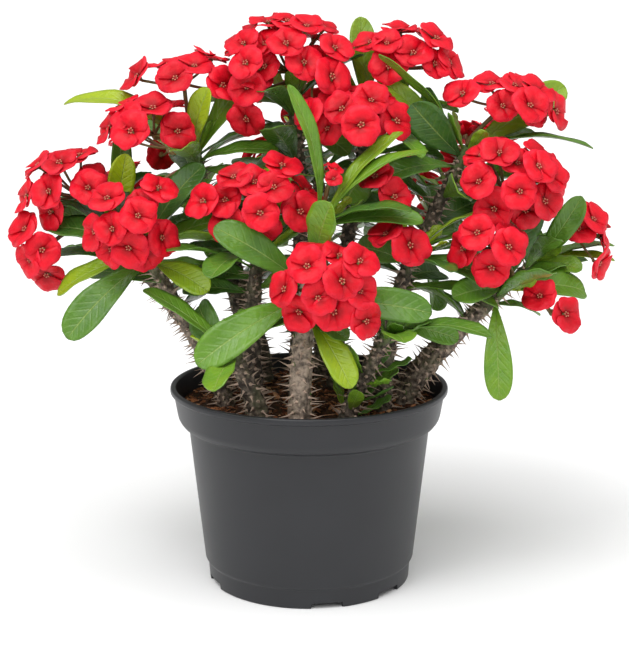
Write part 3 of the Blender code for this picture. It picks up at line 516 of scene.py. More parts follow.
class Room:
    """Keeps what is already placed, so that a new leaf or bloom can be bent clear of the rest."""

    def __init__(self):
        self.placed = []

    @staticmethod
    def measured(shape):
        verts, faces = shape
        low = [min(v[k] for v in verts) for k in range(3)]
        high = [max(v[k] for v in verts) for k in range(3)]
        return BVHTree.FromPolygons(verts, faces), low, high

    def add(self, node, shape):
        self.placed.append((node, *self.measured(shape)))

    def crosses(self, node, shape, own):
        """Whether the shape crosses one that is placed for its own node, or else for another."""
        tree, low, high = self.measured(shape)
        return any(
            (other == node) == own
            and all(low[k] <= far[k] and near[k] <= high[k] for k in range(3))
            and tree.overlap(other_tree)
            for other, other_tree, near, far in self.placed
        )

    def is_clear(self, node, shape):
        return not self.crosses(node, shape, False)


def peduncle_points(head):
    """The stalk of a head: out of its stem's tip, then round to the fork inside the dome."""
    stem = STEM_NAMED[head.stem]
    tip = stem_point(stem, 1.0)
    heading = (tip - stem_point(stem, 1.0 - 1.0 / (STEM_RINGS - 1))).normalized()
    centre, look = point(head.centre), Vector(head.face).normalized()
    fork = centre - look * (min(head.spread) * 0.55 * MM)
    # Two heads on one tip start on the sides that face their own domes.
    others = [point(h.centre) for h in HEADS if h.stem == head.stem and h.name != head.name]
    towards = across(heading, centre - others[0] if others else centre - tip)
    aside = stem_radius(stem, 1.0) * (0.52 if others else 0.2)
    foot = tip + heading * PIECE_GAP + towards * aside
    reach = (fork - foot).length
    first, second = foot + heading * (reach * 0.38), fork - look * (reach * 0.14)
    points = [cubic(foot, first, second, fork, i / 3.0) for i in range(4)]
    # A short straight foot stands square on the stem's tip, and a knuckle holds the stalks.
    points.insert(1, foot + heading * PEDUNCLE_FOOT)
    points[-1:] = [fork - look * FORK_RADIUS, fork, fork + look * (0.6 * FORK_RADIUS)]
    return points


def peduncle_radii(points, knuckle, end):
    return [PEDUNCLE_RADIUS] * (len(points) - 2) + [FORK_RADIUS * knuckle, FORK_RADIUS * end]


def dome(head):
    """The sides of a head's dome, its fork, and the way and place at a height and an angle."""
    look = Vector(head.face).normalized()
    centre, spread = point(head.centre), point(head.spread)
    side = across(look, SIDEWAYS)
    other = look.cross(side)

    def on_dome(height, angle, depth=1.0):
        ring = math.sqrt(max(0.0, 1.0 - height * height))
        way = side * (ring * math.cos(angle)) + other * (ring * math.sin(angle)) + look * height
        return way, centre + Vector(way[k] * spread[k] for k in range(3)) * depth

    return look, (side, other), peduncle_points(head)[-2], on_dome


def head_blooms(head, room, own):
    """Blooms by the golden turn, each bent clear of other nodes and over its neighbours."""
    draw = random.Random(f"{HEAD_SEED} {head.name}")
    look, sides, fork, on_dome = dome(head)
    blooms = []
    for i in range(head.count):
        height = 1.0 - (i + 0.5) / head.count * DOME_COVER
        way, place = on_dome(height, i * GOLDEN_TURN + draw.uniform(-0.25, 0.25))
        face = (way * 0.75 + look * 0.55 + Vector((0.0, -0.12, 0.18))).normalized()
        turn = draw.uniform(0.0, math.pi)
        size = head.size * draw.uniform(0.93, 1.06)
        trials = [
            Bloom(head.name, place + (way * shift + aside * step) * MM, face, turn, size, fork)
            for step in BLOOM_STEPS for shift in BLOOM_SHIFTS
            for aside in [across(way, side) for side in sides][:1 if step == 0.0 else 2]
        ]
        clear = [b for b in trials if room.is_clear(head.name, bloom_shape(b, CLEARANCE))]
        free = [
            b for b in clear
            if not own.crosses(head.name, bloom_shape(b, root=FREE_STALK), True)
        ]
        if clear:
            bloom = (free or clear)[0]
            room.add(head.name, bloom_shape(bloom))
            own.add(head.name, bloom_shape(bloom, root=FREE_STALK))
            blooms.append(bloom)
    return blooms


def more_blooms(head, laid, room):
    """Blooms of the lower tier, between and behind the laid-out ones, as they crowd in a head."""
    draw = random.Random(f"tier {HEAD_SEED} {head.name}")
    look, _, fork, on_dome = dome(head)
    found = list(laid)
    count = round(head.count * TIER_CROWD)
    for i in range(count):
        height = 1.0 - (i + 0.5) / count * TIER_COVER
        angle = i * GOLDEN_TURN + draw.uniform(-0.3, 0.3) + 1.7
        for depth in TIER_DEPTHS:
            way, place = on_dome(height, angle, depth)
            if any((b.place - place).length < BLOOM_NEAREST * head.size for b in found):
                continue
            face = (way * 0.7 + look * 0.55 + Vector((0.0, -0.1, 0.15))).normalized()
            size = head.size * draw.uniform(0.82, 1.0)
            bloom = Bloom(head.name, place, face, draw.uniform(0.0, math.pi), size, fork)
            if room.is_clear(head.name, bloom_shape(bloom, CLEARANCE)):
                room.add(head.name, bloom_shape(bloom))
                found.append(bloom)
                break
    return found


def leaf_turns():
    """Small turns of a leaf about its foot, the smallest first: bearing and pitch in degrees."""
    pairs = [(b, p) for b in LEAF_TURNS for p in LEAF_TURNS]
    return sorted(pairs, key=lambda pair: (pair[0] ** 2 + pair[1] ** 2, pair))


def outer_part(blade):
    """The blade without its foot, where leaves of one stem may meet."""
    return blade_shape(blade._replace(base=blade.base.lerp(blade.tip, FREE_FOOT)))


def placed_blade(stem, leaf, room, own):
    """The leaf as laid out, or turned about its foot and at last shortened until it is clear."""
    axis, tip = stem_point(stem, leaf.at), point(leaf.tip)
    out = across(stem_heading(stem, leaf.at), tip - axis)
    base = axis + out * (stem_radius(stem, leaf.at) * 0.45)
    crossing = chosen = None
    for length in LEAF_LENGTHS:
        for bearing, pitch in leaf_turns():
            reach = (tip - base) * length
            level = across(UP, reach)
            turn = Matrix.Rotation(math.radians(bearing), 3, UP)
            turn = Matrix.Rotation(math.radians(pitch), 3, level.cross(UP)) @ turn
            width = leaf.width * MM * (0.5 + 0.5 * length)
            face = turn @ Vector(leaf.face)
            blade = Blade(stem.name, base, base + turn @ reach, width, face, leaf.arch)
            if not room.is_clear(stem.name, blade_shape(blade, CLEARANCE)):
                continue
            if not own.crosses(stem.name, outer_part(blade), True):
                chosen = blade
                break
            crossing = crossing or blade
        if chosen:
            break
    chosen = chosen or crossing
    if chosen:
        room.add(stem.name, blade_shape(chosen))
        own.add(stem.name, outer_part(chosen))
    return chosen


def fill_leaf(stem, number, draw):
    """A leaf that a rule sets round a tip by the golden turn, older ones lower and larger."""
    at = 0.97 - 0.028 * number
    angle = number * GOLDEN_TURN + draw.uniform(-0.3, 0.3)
    axis = stem_point(stem, at)
    outwards = Vector((axis.x, axis.y, 0.0)).normalized() * 0.35
    rise = draw.uniform(0.0, 0.75) - 0.03 * number
    way = (Vector((math.cos(angle), math.sin(angle), rise)) + outwards).normalized()
    tip = (axis + way * (draw.uniform(42.0, 66.0) * MM)) / MM
    face = UP + way * -0.3 + outwards * 0.6
    return Leaf(at, tuple(tip), draw.uniform(14.0, 20.0), tuple(face), draw.uniform(0.04, 0.14))


def more_leaves(stem, room, own):
    """Leaves of the older tier below the laid-out ones, turned so that they face outwards."""
    draw = random.Random(f"more {LEAF_SEED} {stem.name}")
    is_back = stem.foot[1] > BACK_ROW
    lowest = LOWEST_BACK if is_back else LOWEST_MORE
    found = []
    for number in range(MORE_BACK_LEAVES if is_back else MORE_LEAVES):
        leaf = fill_leaf(stem, number + 5, draw)
        x, y, height = leaf.tip
        face = UP * 0.7 + Vector((x, y, 0.0)).normalized() * 0.8
        leaf = leaf._replace(face=tuple(face), width=draw.uniform(16.0, 23.0))
        hides_wood = not is_back and y < stem.foot[1] - 5.0 and height < HIDING_LEAF
        if height > lowest and not hides_wood and stem.name != "stem_front":
            found.append(placed_blade(stem, leaf, room, own))
    return found


def small_leaves(stem, room, count, low, high, lean, lengths):
    """Small new leaves round a growing tip or a young shoot, each as long as its room allows."""
    draw = random.Random(f"small {LEAF_SEED} {stem.name} {low}")
    found = []
    for number in range(count):
        share = low + (high - low) * (number + 0.5) / count
        angle = number * GOLDEN_TURN + draw.uniform(-0.2, 0.2)
        axis, heading, _, out = round_stem(stem, share, angle)
        base = axis + out * (stem_radius(stem, share) * 0.6)
        way = (heading * draw.uniform(0.75, 1.25) * lean + out).normalized()
        for length in lengths:
            end = base + way * (length * draw.uniform(0.85, 1.1) * MM)
            width = length * draw.uniform(0.30, 0.40) * MM
            blade = Blade(stem.name, base, end, width, heading - out * lean, -0.06)
            if room.is_clear(stem.name, blade_shape(blade, CLEARANCE)):
                room.add(stem.name, blade_shape(blade))
                found.append(blade)
                break
    return found


def thorns_of(stem):
    """Foot and tip of each larger thorn, in a spiral up the bare wood."""
    draw = random.Random(f"{THORN_SEED} {stem.name}")
    found = []
    count = round(stem_length(stem) / THORN_SPACING)
    for i in range(count):
        share = 0.06 + 0.86 * (i + 0.5) / count
        angle = i * GOLDEN_TURN + draw.uniform(-0.2, 0.2)
        axis, heading, _, out = round_stem(stem, share, angle)
        way = (out + heading * draw.uniform(-0.25, 0.15)).normalized()
        root = axis + out * (stem_radius(stem, share) * 0.6)
        reach = stem_radius(stem, share) * 0.4 + THORN_LENGTH * draw.uniform(0.75, 1.1)
        found.append((root, root + way * reach))
    return found


def fine_thorns(stem, laid, room, spacing):
    """The laid-out thorns and the many between them, each with its foot and its tip."""
    draw = random.Random(f"fine {THORN_SEED} {stem.name}")
    found = list(laid)
    count = round(stem_length(stem) / spacing)
    for i in range(count):
        share = 0.03 + 0.91 * (i + 0.5) / count
        angle = i * GOLDEN_TURN + draw.uniform(-0.35, 0.35)
        axis, heading, side, out = round_stem(stem, share, angle)
        way = out + heading * draw.uniform(-0.4, 0.45) + side * draw.uniform(-0.2, 0.2)
        root = axis + out * (stem_radius(stem, share) * 0.92)
        tip = root + way.normalized() * (THORN_LENGTH * draw.uniform(0.55, 1.2))
        if room.is_clear(stem.name, thorn_shape(root, tip, THORN_ROOT)):
            found.append((root, tip))
    return found


def laid_out():
    """Every thorn, bloom and leaf blade, in the order in which they take their room."""
    room, own = Room(), Room()
    thorns, blades = ({stem.name: [] for stem in STEMS} for _ in range(2))
    for stem in STEMS:
        shares = [-1.0] + [i / (STEM_RINGS - 1) for i in range(STEM_RINGS)]
        radii = [stem_radius(stem, share) + 1.0 * MM for share in shares]
        room.add(stem.name, tube([stem_point(stem, s) for s in shares], radii, STEM_SIDES))
    for head in HEADS:
        points = peduncle_points(head)
        room.add(head.name, tube(points, peduncle_radii(points, 1.0, 0.6), PEDUNCLE_SIDES))
    for stem in STEMS:
        for root, tip in thorns_of(stem):
            if room.is_clear(stem.name, thorn_shape(root, tip, THORN_ROOT + CLEARANCE)):
                room.add(stem.name, thorn_shape(root, tip, THORN_ROOT))
                thorns[stem.name].append((root, tip))
    blooms = {head.name: head_blooms(head, room, own) for head in HEADS}
    for name, leaves in LEAVES.items():
        for leaf in leaves:
            blades[name].append(placed_blade(STEM_NAMED[name], Leaf(*leaf), room, own))
    for stem in STEMS:
        draw = random.Random(f"{LEAF_SEED} {stem.name}")
        for number in range(FILL_LEAVES[stem.name]):
            blades[stem.name].append(placed_blade(stem, fill_leaf(stem, number, draw), room, own))
    blades = {name: [blade for blade in found if blade] for name, found in blades.items()}
    return Plan(thorns, blooms, blades, room)


_plans = []


def planned():
    """The layout of the solids, and what stands between it in the finished plant, made once."""
    if not _plans:
        plan, own = laid_out(), Room()
        for head in HEADS:
            plan.blooms[head.name] = more_blooms(head, plan.blooms[head.name], plan.room)
        for stem in STEMS:
            for blade in plan.blades[stem.name]:
                own.add(stem.name, outer_part(blade))
        for stem in STEMS:
            plan.blades[stem.name] += [b for b in more_leaves(stem, plan.room, own) if b]
            plan.blades[stem.name] += small_leaves(
                stem, plan.room, TIP_LEAVES, WOOD_TIP, WOOD_TIP, 0.95, TIP_LENGTHS
            )
        shoot = STEM_NAMED["stem_low_right"]
        plan.blades[shoot.name] += small_leaves(
            shoot, plan.room, SHOOT_LEAVES, 0.06, 0.6, 1.0, SHOOT_LENGTHS
        )
        _plans.append(plan)
    return _plans[0]


def joining(operation, swapped=False):
    """A method that joins a value and another term, in this order or swapped."""
    def method(self, other):
        return self.sum(operation, *((other, self) if swapped else (self, other)))
    return method


class Value:
    """A number that varies over a surface; sums on it add Math nodes to its material."""

    def __init__(self, paint, socket):
        self.paint, self.socket = paint, socket

    def sum(self, operation, *terms):
        return self.paint.node("ShaderNodeMath", {"operation": operation}, dict(enumerate(terms)))

    __add__, __radd__ = joining("ADD"), joining("ADD", True)
    __sub__, __rsub__ = joining("SUBTRACT"), joining("SUBTRACT", True)
    __mul__, __rmul__ = joining("MULTIPLY"), joining("MULTIPLY", True)
    __pow__ = joining("POWER")

    def __abs__(self):
        return self.sum("ABSOLUTE", self)

    def sine(self):
        return self.sum("SINE", self)

    def kept(self, low=0.0, high=1.0):
        return self.sum("MINIMUM", self.sum("MAXIMUM", self, low), high)


class Paint:
    """A material under construction."""

    def __init__(self, name, gloss):
        self.material = bpy.data.materials.new(name)
        self.material.use_nodes = True
        self.tree = self.material.node_tree
        self.shader = self.tree.nodes["Principled BSDF"]
        self.shader.inputs["Specular IOR Level"].default_value = gloss

    def node(self, kind, settings=None, inputs=None, output=0):
        made = self.tree.nodes.new(kind)
        for key, value in (settings or {}).items():
            if key == "stops":
                while len(made.color_ramp.elements) < len(value):
                    made.color_ramp.elements.new(0.5)
                for stop, (place, colour) in zip(made.color_ramp.elements, value):
                    stop.position, stop.color = place, (*colour, 1.0)
            else:
                setattr(made, key, value)
        for key, value in (inputs or {}).items():
            if isinstance(value, Value):
                self.tree.links.new(value.socket, made.inputs[key])
            else:
                made.inputs[key].default_value = value
        return Value(self, made.outputs[output])

    def noise(self, scale, detail=3.0):
        place = self.node("ShaderNodeTexCoord", output="Object")
        inputs = {"Vector": place, "Scale": scale, "Detail": detail}
        return self.node("ShaderNodeTexNoise", None, inputs, "Fac")

    def cells(self, scale):
        place = self.node("ShaderNodeTexCoord", output="Object")
        return self.node("ShaderNodeTexVoronoi", None, {"Vector": place, "Scale": scale})

    def told(self, name="tone"):
        """The number that a piece carries under a name."""
        return self.node("ShaderNodeAttribute", {"attribute_name": name}, None, "Fac")

    def ramp(self, share, *stops):
        return self.node("ShaderNodeValToRGB", {"stops": stops}, {0: share})

    def mix(self, share, first, second):
        """A colour between two: each is a colour of three numbers or an earlier colour."""
        first, second = (c if isinstance(c, Value) else (*c, 1.0) for c in (first, second))
        inputs = {0: share, 6: first, 7: second}
        return self.node("ShaderNodeMix", {"data_type": "RGBA"}, inputs, 2)

    def finish(self, colour, roughness, height=None, distance=0.0, strength=1.0):
        """The finished material: its colour, its roughness and, where it has relief, its bumps."""
        found = {"Base Color": colour, "Roughness": roughness}
        if height is not None:
            inputs = {"Height": height, "Distance": distance, "Strength": strength}
            found["Normal"] = self.node("ShaderNodeBump", None, inputs)
        for socket, value in found.items():
            self.tree.links.new(value.socket, self.shader.inputs[socket])
        return self.material


def shade(colour, share):
    return tuple(min(1.0, c * share) for c in colour)


def paint_pot(colour):
    paint = Paint("pot_plastic", 0.42)
    cloud, grain = paint.noise(28.0, 4.0), paint.noise(1800.0, 2.0)
    plastic = paint.mix((cloud - 0.35) * 1.6, colour, shade(colour, 1.35))
    return paint.finish(plastic, 0.30 + cloud * 0.16 + grain * 0.06, grain, 0.05 * MM, 0.35)


def paint_soil():
    paint = Paint("potting_soil", 0.2)
    coarse, fine = paint.noise(160.0, 4.0), paint.noise(900.0, 3.0)
    peat = paint.ramp(
        coarse * 0.6 + fine * 0.4,
        (0.3, (0.018, 0.010, 0.007)), (0.52, (0.055, 0.026, 0.014)), (0.72, (0.14, 0.060, 0.028)),
    )
    return paint.finish(peat, 0.86 + fine * 0.12, coarse + fine * 0.5, 0.8 * MM)


def paint_crumbs():
    paint = Paint("bark_crumbs", 0.25)
    fine = paint.noise(1400.0, 3.0)
    chips = paint.ramp(
        (paint.told() + fine * 0.35 - 0.17).kept(),
        (0.0, (0.040, 0.018, 0.011)), (0.35, (0.17, 0.062, 0.027)),
        (0.7, (0.42, 0.16, 0.065)), (1.0, (0.62, 0.34, 0.18)),
    )
    return paint.finish(chips, 0.78 + fine * 0.2, fine, 0.3 * MM)


def paint_wood(bark, moss, young):
    """Grey-brown bark in knobbly cells, mossy in places and green near a tip."""
    paint = Paint("bark", 0.3)
    patch, crack, cells = paint.noise(95.0, 5.0), paint.noise(520.0, 5.0), paint.cells(260.0)
    grey = paint.told("pale")
    share = patch * 0.35 + crack * 0.45 + (1.0 - cells) * 0.22 + (grey - 0.45) * 0.2
    wood = paint.ramp(share, (0.40, shade(bark, 0.28)), (0.52, bark), (0.66, shade(bark, 2.7)))
    mossy = ((patch - 0.53) * 6.0 + (0.7 - grey) * 1.3).kept() * 0.55
    fresh = ((paint.told() - 0.80) * 6.0 + (patch - 0.5) * 0.8).kept()
    wood = paint.mix(fresh, paint.mix(mossy, wood, moss), young)
    return paint.finish(wood, 0.66 + crack * 0.25, crack * 0.7 - cells * 0.8, 1.3 * MM)


def paint_thorn(colour):
    paint = Paint("thorn", 0.35)
    patch = paint.noise(420.0, 3.0)
    share = (paint.told() * 0.5 + patch * 0.5).kept()
    spine = paint.mix(share, shade(colour, 0.42), colour)
    return paint.finish(spine, 0.55 + patch * 0.2, patch, 0.15 * MM)


def paint_leaf(young, full, old, vein, under=False):
    """Leaf green: the tone sets the age, and the leaf's own map places its midrib and veins."""
    paint = Paint("leaf_underside" if under else "leaf", 0.4)
    uv = paint.node("ShaderNodeUVMap", {"uv_map": "UVMap"})
    over, along = (paint.node("ShaderNodeSeparateXYZ", None, {0: uv}, k) for k in (0, 1))
    off_rib = abs(over * 2.0 - 1.0)
    rib = (1.0 - off_rib * 16.0).kept()
    side = ((along * 11.0 - off_rib * 1.9) * FULL_TURN).sine()
    side = (side * 0.5 + 0.5) ** 7.0 * (1.0 - off_rib * 0.75)
    grains = ((75.0, 3.0), (230.0, 2.0), (700.0, 2.0))
    cloud, pucker, speck = (paint.noise(*grain) for grain in grains)
    age = (paint.told() + (cloud - 0.5) * 0.35).kept()
    age = (age + (pucker - 0.5) * 0.12).kept()
    green = paint.ramp(age, (0.0, old), (0.45, full), (1.0, young))
    green = paint.mix((side * 0.11).kept(), green, vein)
    green = paint.mix((rib * 0.6).kept(), green, vein)
    if under:
        green = paint.mix(0.40, green, vein)
    height = cloud * 1.5 + pucker * 0.8 - side * 0.22 - rib * (-1.0 if under else 0.3)
    gloss = (0.50 if under else 0.20) + cloud * 0.16 + speck * 0.05
    return paint.finish(green, gloss, height, 0.9 * MM, 0.9)


def paint_bract(red, old, base, rim):
    """Velvety red bracts: painted shade that deepens towards the foot, a painted highlight at the
    rim, and darker all over on old blooms.
    """
    paint = Paint("bract", 0.25)
    cloud, vein = paint.noise(210.0, 3.0), paint.noise(900.0, 2.0)
    reach = paint.told("reach")
    # The bloom's age and random cloud, plus painted shade that darkens each bract towards its
    # middle.
    age_and_painted_shade = paint.told() * 0.55 + (cloud - 0.5) * 0.9 + (0.65 - reach) * 0.6
    colour = paint.mix(age_and_painted_shade.kept(), red, old)
    # Painted highlight: each bract turns paler pink towards its rim.
    colour = paint.mix(((reach - 0.72) * 2.2 + (cloud - 0.5) * 1.6).kept() * 0.7, colour, rim)
    # Painted shade: each bract turns dark red towards its foot, round the bloom's middle.
    colour = paint.mix((1.30 - reach * 2.5).kept() * 0.85, colour, base)
    return paint.finish(colour, 0.38 + cloud * 0.2, cloud + vein * 0.3, 0.9 * MM, 0.7)


def paint_gland(colour):
    paint = Paint("gland", 0.6)
    cloud = paint.noise(900.0, 2.0)
    return paint.finish(paint.mix(cloud, colour, shade(colour, 0.55)), 0.25 + cloud * 0.2)


def paint_stalk(reddish, olive):
    paint = Paint("flower_stalk", 0.4)
    cloud = paint.noise(95.0, 3.0)
    skin = paint.mix(((cloud - 0.3) * 2.2).kept(), reddish, olive)
    return paint.finish(skin, 0.42 + cloud * 0.2, cloud, 0.2 * MM)


def paint_floor(colour):
    paint = Paint("studio_floor", 0.1)
    cloud = paint.noise(1.5, 2.0)
    return paint.finish(paint.mix(cloud, colour, shade(colour, 0.995)), 0.8 + cloud * 0.05)


def start(piece=None):
    """Object mode with nothing selected, or with the piece alone selected and active."""
    if bpy.context.object and bpy.context.object.mode != "OBJECT":
        bpy.ops.object.mode_set(mode="OBJECT")
    bpy.ops.object.select_all(action="DESELECT")
    if piece:
        piece.select_set(True)
        bpy.context.view_layer.objects.active = piece
    return piece


def edit(piece):
    """Edit mode on the piece alone, with all of it selected."""
    start(piece)
    bpy.ops.object.mode_set(mode="EDIT")
    bpy.ops.mesh.select_all(action="SELECT")


def mended(piece, name=None):
    """The piece with its faces pointing outwards, under its name."""
    edit(piece)
    bpy.ops.mesh.normals_make_consistent(inside=False)
    bpy.ops.object.mode_set(mode="OBJECT")
    return named(piece, name) if name else piece


def named(piece, name):
    piece.name = piece.data.name = name
    return piece


def fixed(piece):
    """The new primitive with its place, turn and scale in its mesh."""
    bpy.ops.object.transform_apply(location=True, rotation=True, scale=True)
    return piece


def finished(kind, piece, **settings):
    """Adds a modifier and applies it."""
    modifier = start(piece).modifiers.new(kind.lower(), kind)
    for key, value in settings.items():
        setattr(modifier, key, value)
    bpy.ops.object.modifier_apply(modifier=modifier.name)


def joined(name, pieces):
    first = start(pieces[0])
    for piece in pieces:
        piece.select_set(True)
    if len(pieces) > 1:
        bpy.ops.object.join()
    return named(first, name)


def twin(master):
    """A copy with its own mesh."""
    copy = master.copy()
    copy.data = master.data.copy()
    bpy.context.collection.objects.link(copy)
    return copy


def removed(*pieces):
    for piece in pieces:
        bpy.data.objects.remove(piece)


def set_tone(piece, value, name="tone"):
    """One number for the whole mesh, which its material reads."""
    mesh = piece.data
    layer = mesh.attributes.get(name) or mesh.attributes.new(name, "FLOAT", "POINT")
    layer.data.foreach_set("value", [value] * len(mesh.vertices))


def coat(piece, *materials):
    piece.data.materials.clear()
    for finish in materials:
        piece.data.materials.append(finish)


def smooth(piece, degrees=None):
    start(piece)
    if degrees is None:
        bpy.ops.object.shade_smooth()
    else:
        bpy.ops.object.shade_smooth_by_angle(angle=math.radians(degrees))


def dressed(piece, node):
    """Hangs the piece on the body, and hides the solid that it stands for."""
    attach(piece, BODY)
    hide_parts(node)


def kept_inside(piece):
    """Holds the piece within the box of the solids."""
    low, high = CAD_BOX
    for vert in piece.data.vertices:
        vert.co = [min(max(vert.co[k], low[k]), high[k]) for k in range(3)]


def drawn_up(name, profile, sides):
    """A turned shape, drawn from ring to ring by extruding, widening and lifting its open edge."""
    start()
    radius, height = profile[0]
    bpy.ops.mesh.primitive_circle_add(
        vertices=sides, radius=radius, fill_type="NOTHING", location=(0.0, 0.0, height)
    )
    piece = fixed(bpy.context.object)
    edit(piece)
    for next_radius, next_height in profile[1:]:
        bpy.ops.mesh.extrude_region_move(
            TRANSFORM_OT_translate={"value": (0.0, 0.0, next_height - height)}
        )
        scale = next_radius / radius
        bpy.ops.transform.resize(value=(scale, scale, 1.0), center_override=(0.0, 0.0, next_height))
        radius, height = next_radius, next_height
    bpy.ops.mesh.select_non_manifold(
        extend=False, use_wire=False, use_boundary=True, use_multi_face=False,
        use_non_contiguous=False, use_verts=False,
    )
    bpy.ops.mesh.fill_holes(sides=0)
    return mended(piece, name)


def rods(name, runs, sides):
    """Round rods with closed ends, one for each run of places and radii."""
    start()
    bpy.ops.curve.primitive_bezier_curve_add()
    shape = bpy.context.object.data
    shape.splines.clear()
    shape.dimensions = "3D"
    for run in runs:
        spline = shape.splines.new("POLY")
        spline.points.add(len(run) - 1)
        for knot, (place, radius) in zip(spline.points, run):
            knot.co = (*place, 1.0)
            knot.radius = radius / MM
    shape.bevel_depth = MM
    shape.bevel_resolution = (sides - 4) // 2
    shape.use_fill_caps = True
    bpy.ops.object.convert(target="MESH")
    rod = bpy.context.object
    edit(rod)
    bpy.ops.mesh.remove_doubles(threshold=0.00001)
    return mended(rod, name)


def finer(run, steps=3):
    """The run with its bends rounded: each stretch is split along a smooth curve."""
    found = []
    for i in range(len(run) - 1):
        (a, ra), (b, rb) = run[i], run[i + 1]
        before = run[i - 1][0] if i else a + (a - b)
        after = run[i + 2][0] if i + 2 < len(run) else b + (b - a)
        for k in range(steps):
            t = k / steps
            place = 0.5 * (
                2 * a + (b - before) * t + (2 * before - 5 * a + 4 * b - after) * t ** 2
                + (3 * a - before - 3 * b + after) * t ** 3
            )
            found.append((place, ra + (rb - ra) * t))
    return found + [run[-1]]


def filleted(corners):
    """The profile with its corners rounded, each corner given as radius, height and rounding."""
    points = []
    for i, (r, z, rounding) in enumerate(corners):
        if rounding == 0.0:
            points.append((r, z))
            continue
        here, before, after = Vector((r, z)), Vector(corners[i - 1][:2]), Vector(corners[i + 1][:2])
        reach = min(rounding, (before - here).length * 0.45, (after - here).length * 0.45)
        first = here + (before - here).normalized() * reach
        last = here + (after - here).normalized() * reach
        steps = [k / FILLET_STEPS for k in range(FILLET_STEPS + 1)]
        points += [tuple(quadratic(first, here, last, t)) for t in steps]
    return points


def fine_pot_profile():
    """The turned outline of the pot, its corners softened as moulded plastic has them."""
    return filleted((
        (CHANNEL_INNER - 1.0 * MM, 0.0, 0.0),
        (CHANNEL_INNER, CHANNEL_HEIGHT, 0.8 * MM),
        (CHANNEL_OUTER, CHANNEL_HEIGHT, 0.8 * MM),
        (FOOT_RADIUS - 2.6 * MM, 0.0, 0.4 * MM),
        (FOOT_RADIUS - 0.8 * MM, 0.0, 0.6 * MM),
        (FOOT_RADIUS, FOOT_HEIGHT - 1.0 * MM, 0.9 * MM),
        (BODY_FOOT_RADIUS, FOOT_HEIGHT + 1.0 * MM, 0.9 * MM),
        (BODY_TOP_RADIUS, BAND_FOOT - 1.2 * MM, 2.2 * MM),
        (BODY_TOP_RADIUS + 3.6 * MM, BAND_FOOT, 1.4 * MM),
        (RIM_RADIUS - 4.8 * MM, BAND_FOOT + 3.6 * MM, 2.2 * MM),
        (RIM_RADIUS - 2.2 * MM, POT_HEIGHT - 4.6 * MM, 0.6 * MM),
        (RIM_RADIUS, POT_HEIGHT - 3.2 * MM, 0.8 * MM),
        (RIM_RADIUS - 0.2 * MM, POT_HEIGHT, 1.3 * MM),
        (RIM_RADIUS - 3.4 * MM, POT_HEIGHT, 1.2 * MM),
        (RIM_RADIUS - 6.3 * MM, BAND_FOOT + 4.2 * MM, 1.5 * MM),
        (BODY_TOP_RADIUS - POT_WALL, BAND_FOOT + 0.6 * MM, 1.2 * MM),
        (BODY_FOOT_RADIUS - POT_WALL, FOOT_HEIGHT + 2.0 * MM, 2.0 * MM),
        (CHANNEL_OUTER + 0.4 * MM, CHANNEL_HEIGHT + POT_FLOOR, 1.0 * MM),
        (CHANNEL_INNER - 1.6 * MM, CHANNEL_HEIGHT + POT_FLOOR, 0.6 * MM),
        (CHANNEL_INNER - 2.6 * MM, POT_FLOOR, 0.0),
    ))


def at_bearing(degrees, radius, height):
    """A place round the pot, its bearing counted from the front towards the right."""
    angle = math.radians(degrees) - math.pi / 2.0
    return (math.cos(angle) * radius, math.sin(angle) * radius, height), angle


def cut_by(piece, cutter):
    finished("BOOLEAN", piece, operation="DIFFERENCE", object=cutter)
    removed(cutter)


def make_pot(settings):
    pot = drawn_up("nursery_pot", fine_pot_profile(), POT_FINE_SIDES)
    for degrees in NOTCH_BEARINGS:
        place, angle = at_bearing(degrees, FOOT_RADIUS, NOTCH_HEIGHT * 0.5 - 1.0 * MM)
        start()
        bpy.ops.mesh.primitive_cube_add(
            size=1.0, location=place, rotation=(0.0, 0.0, angle),
            scale=(7.0 * MM, NOTCH_WIDTH, NOTCH_HEIGHT + 2.0 * MM),
        )
        notch = fixed(bpy.context.object)
        finished("BEVEL", notch, width=0.8 * MM, segments=3)
        cut_by(pot, notch)
    for degrees in DRAIN_BEARINGS:
        middle = 0.5 * (CHANNEL_INNER + CHANNEL_OUTER)
        start()
        bpy.ops.mesh.primitive_cylinder_add(
            vertices=24, radius=DRAIN_RADIUS, depth=6.0 * MM,
            location=at_bearing(degrees, middle, CHANNEL_HEIGHT + 1.0 * MM)[0],
        )
        cut_by(pot, bpy.context.object)
    coat(pot, paint_pot(settings.pot_colour))
    smooth(pot, 32.0)
    dressed(pot, "pot")


def soil_height(x, y):
    """The bed's height at a place: a low crown with lumps."""
    reach = min(1.0, math.hypot(x, y) / RIM_RADIUS)
    crown = SOIL_CROWN * (1.0 - reach ** 2)
    place = Vector((x, y, 0.0))
    lumps = noise.noise(place * 55.0) * 2.0 + noise.noise(place * 160.0) * 1.1
    return SOIL_TOP + crown * 0.8 + lumps * MM * (1.0 - 0.5 * reach ** 4) - 0.3 * MM


def make_soil():
    profile = [
        (CHANNEL_OUTER - 0.6 * MM, CHANNEL_HEIGHT + POT_FLOOR + SOIL_GAP),
        (BODY_FOOT_RADIUS - POT_WALL - SOIL_GAP, FOOT_HEIGHT + 2.6 * MM),
        (BODY_TOP_RADIUS - POT_WALL - SOIL_GAP, BAND_FOOT + 0.9 * MM),
        (SOIL_EDGE - 1.0 * MM, BAND_FOOT + 5.0 * MM),
    ]
    profile += [(SOIL_EDGE * (1.0 - k / SOIL_RINGS), SOIL_TOP) for k in range(SOIL_RINGS)]
    bed = drawn_up("soil_bed", profile, SOIL_FINE_SIDES)
    for vert in bed.data.vertices:
        if vert.co.z > SOIL_TOP - 0.5 * MM:
            vert.co.z = soil_height(vert.co.x, vert.co.y)
    coat(bed, paint_soil())
    smooth(bed)
    dressed(bed, "soil")


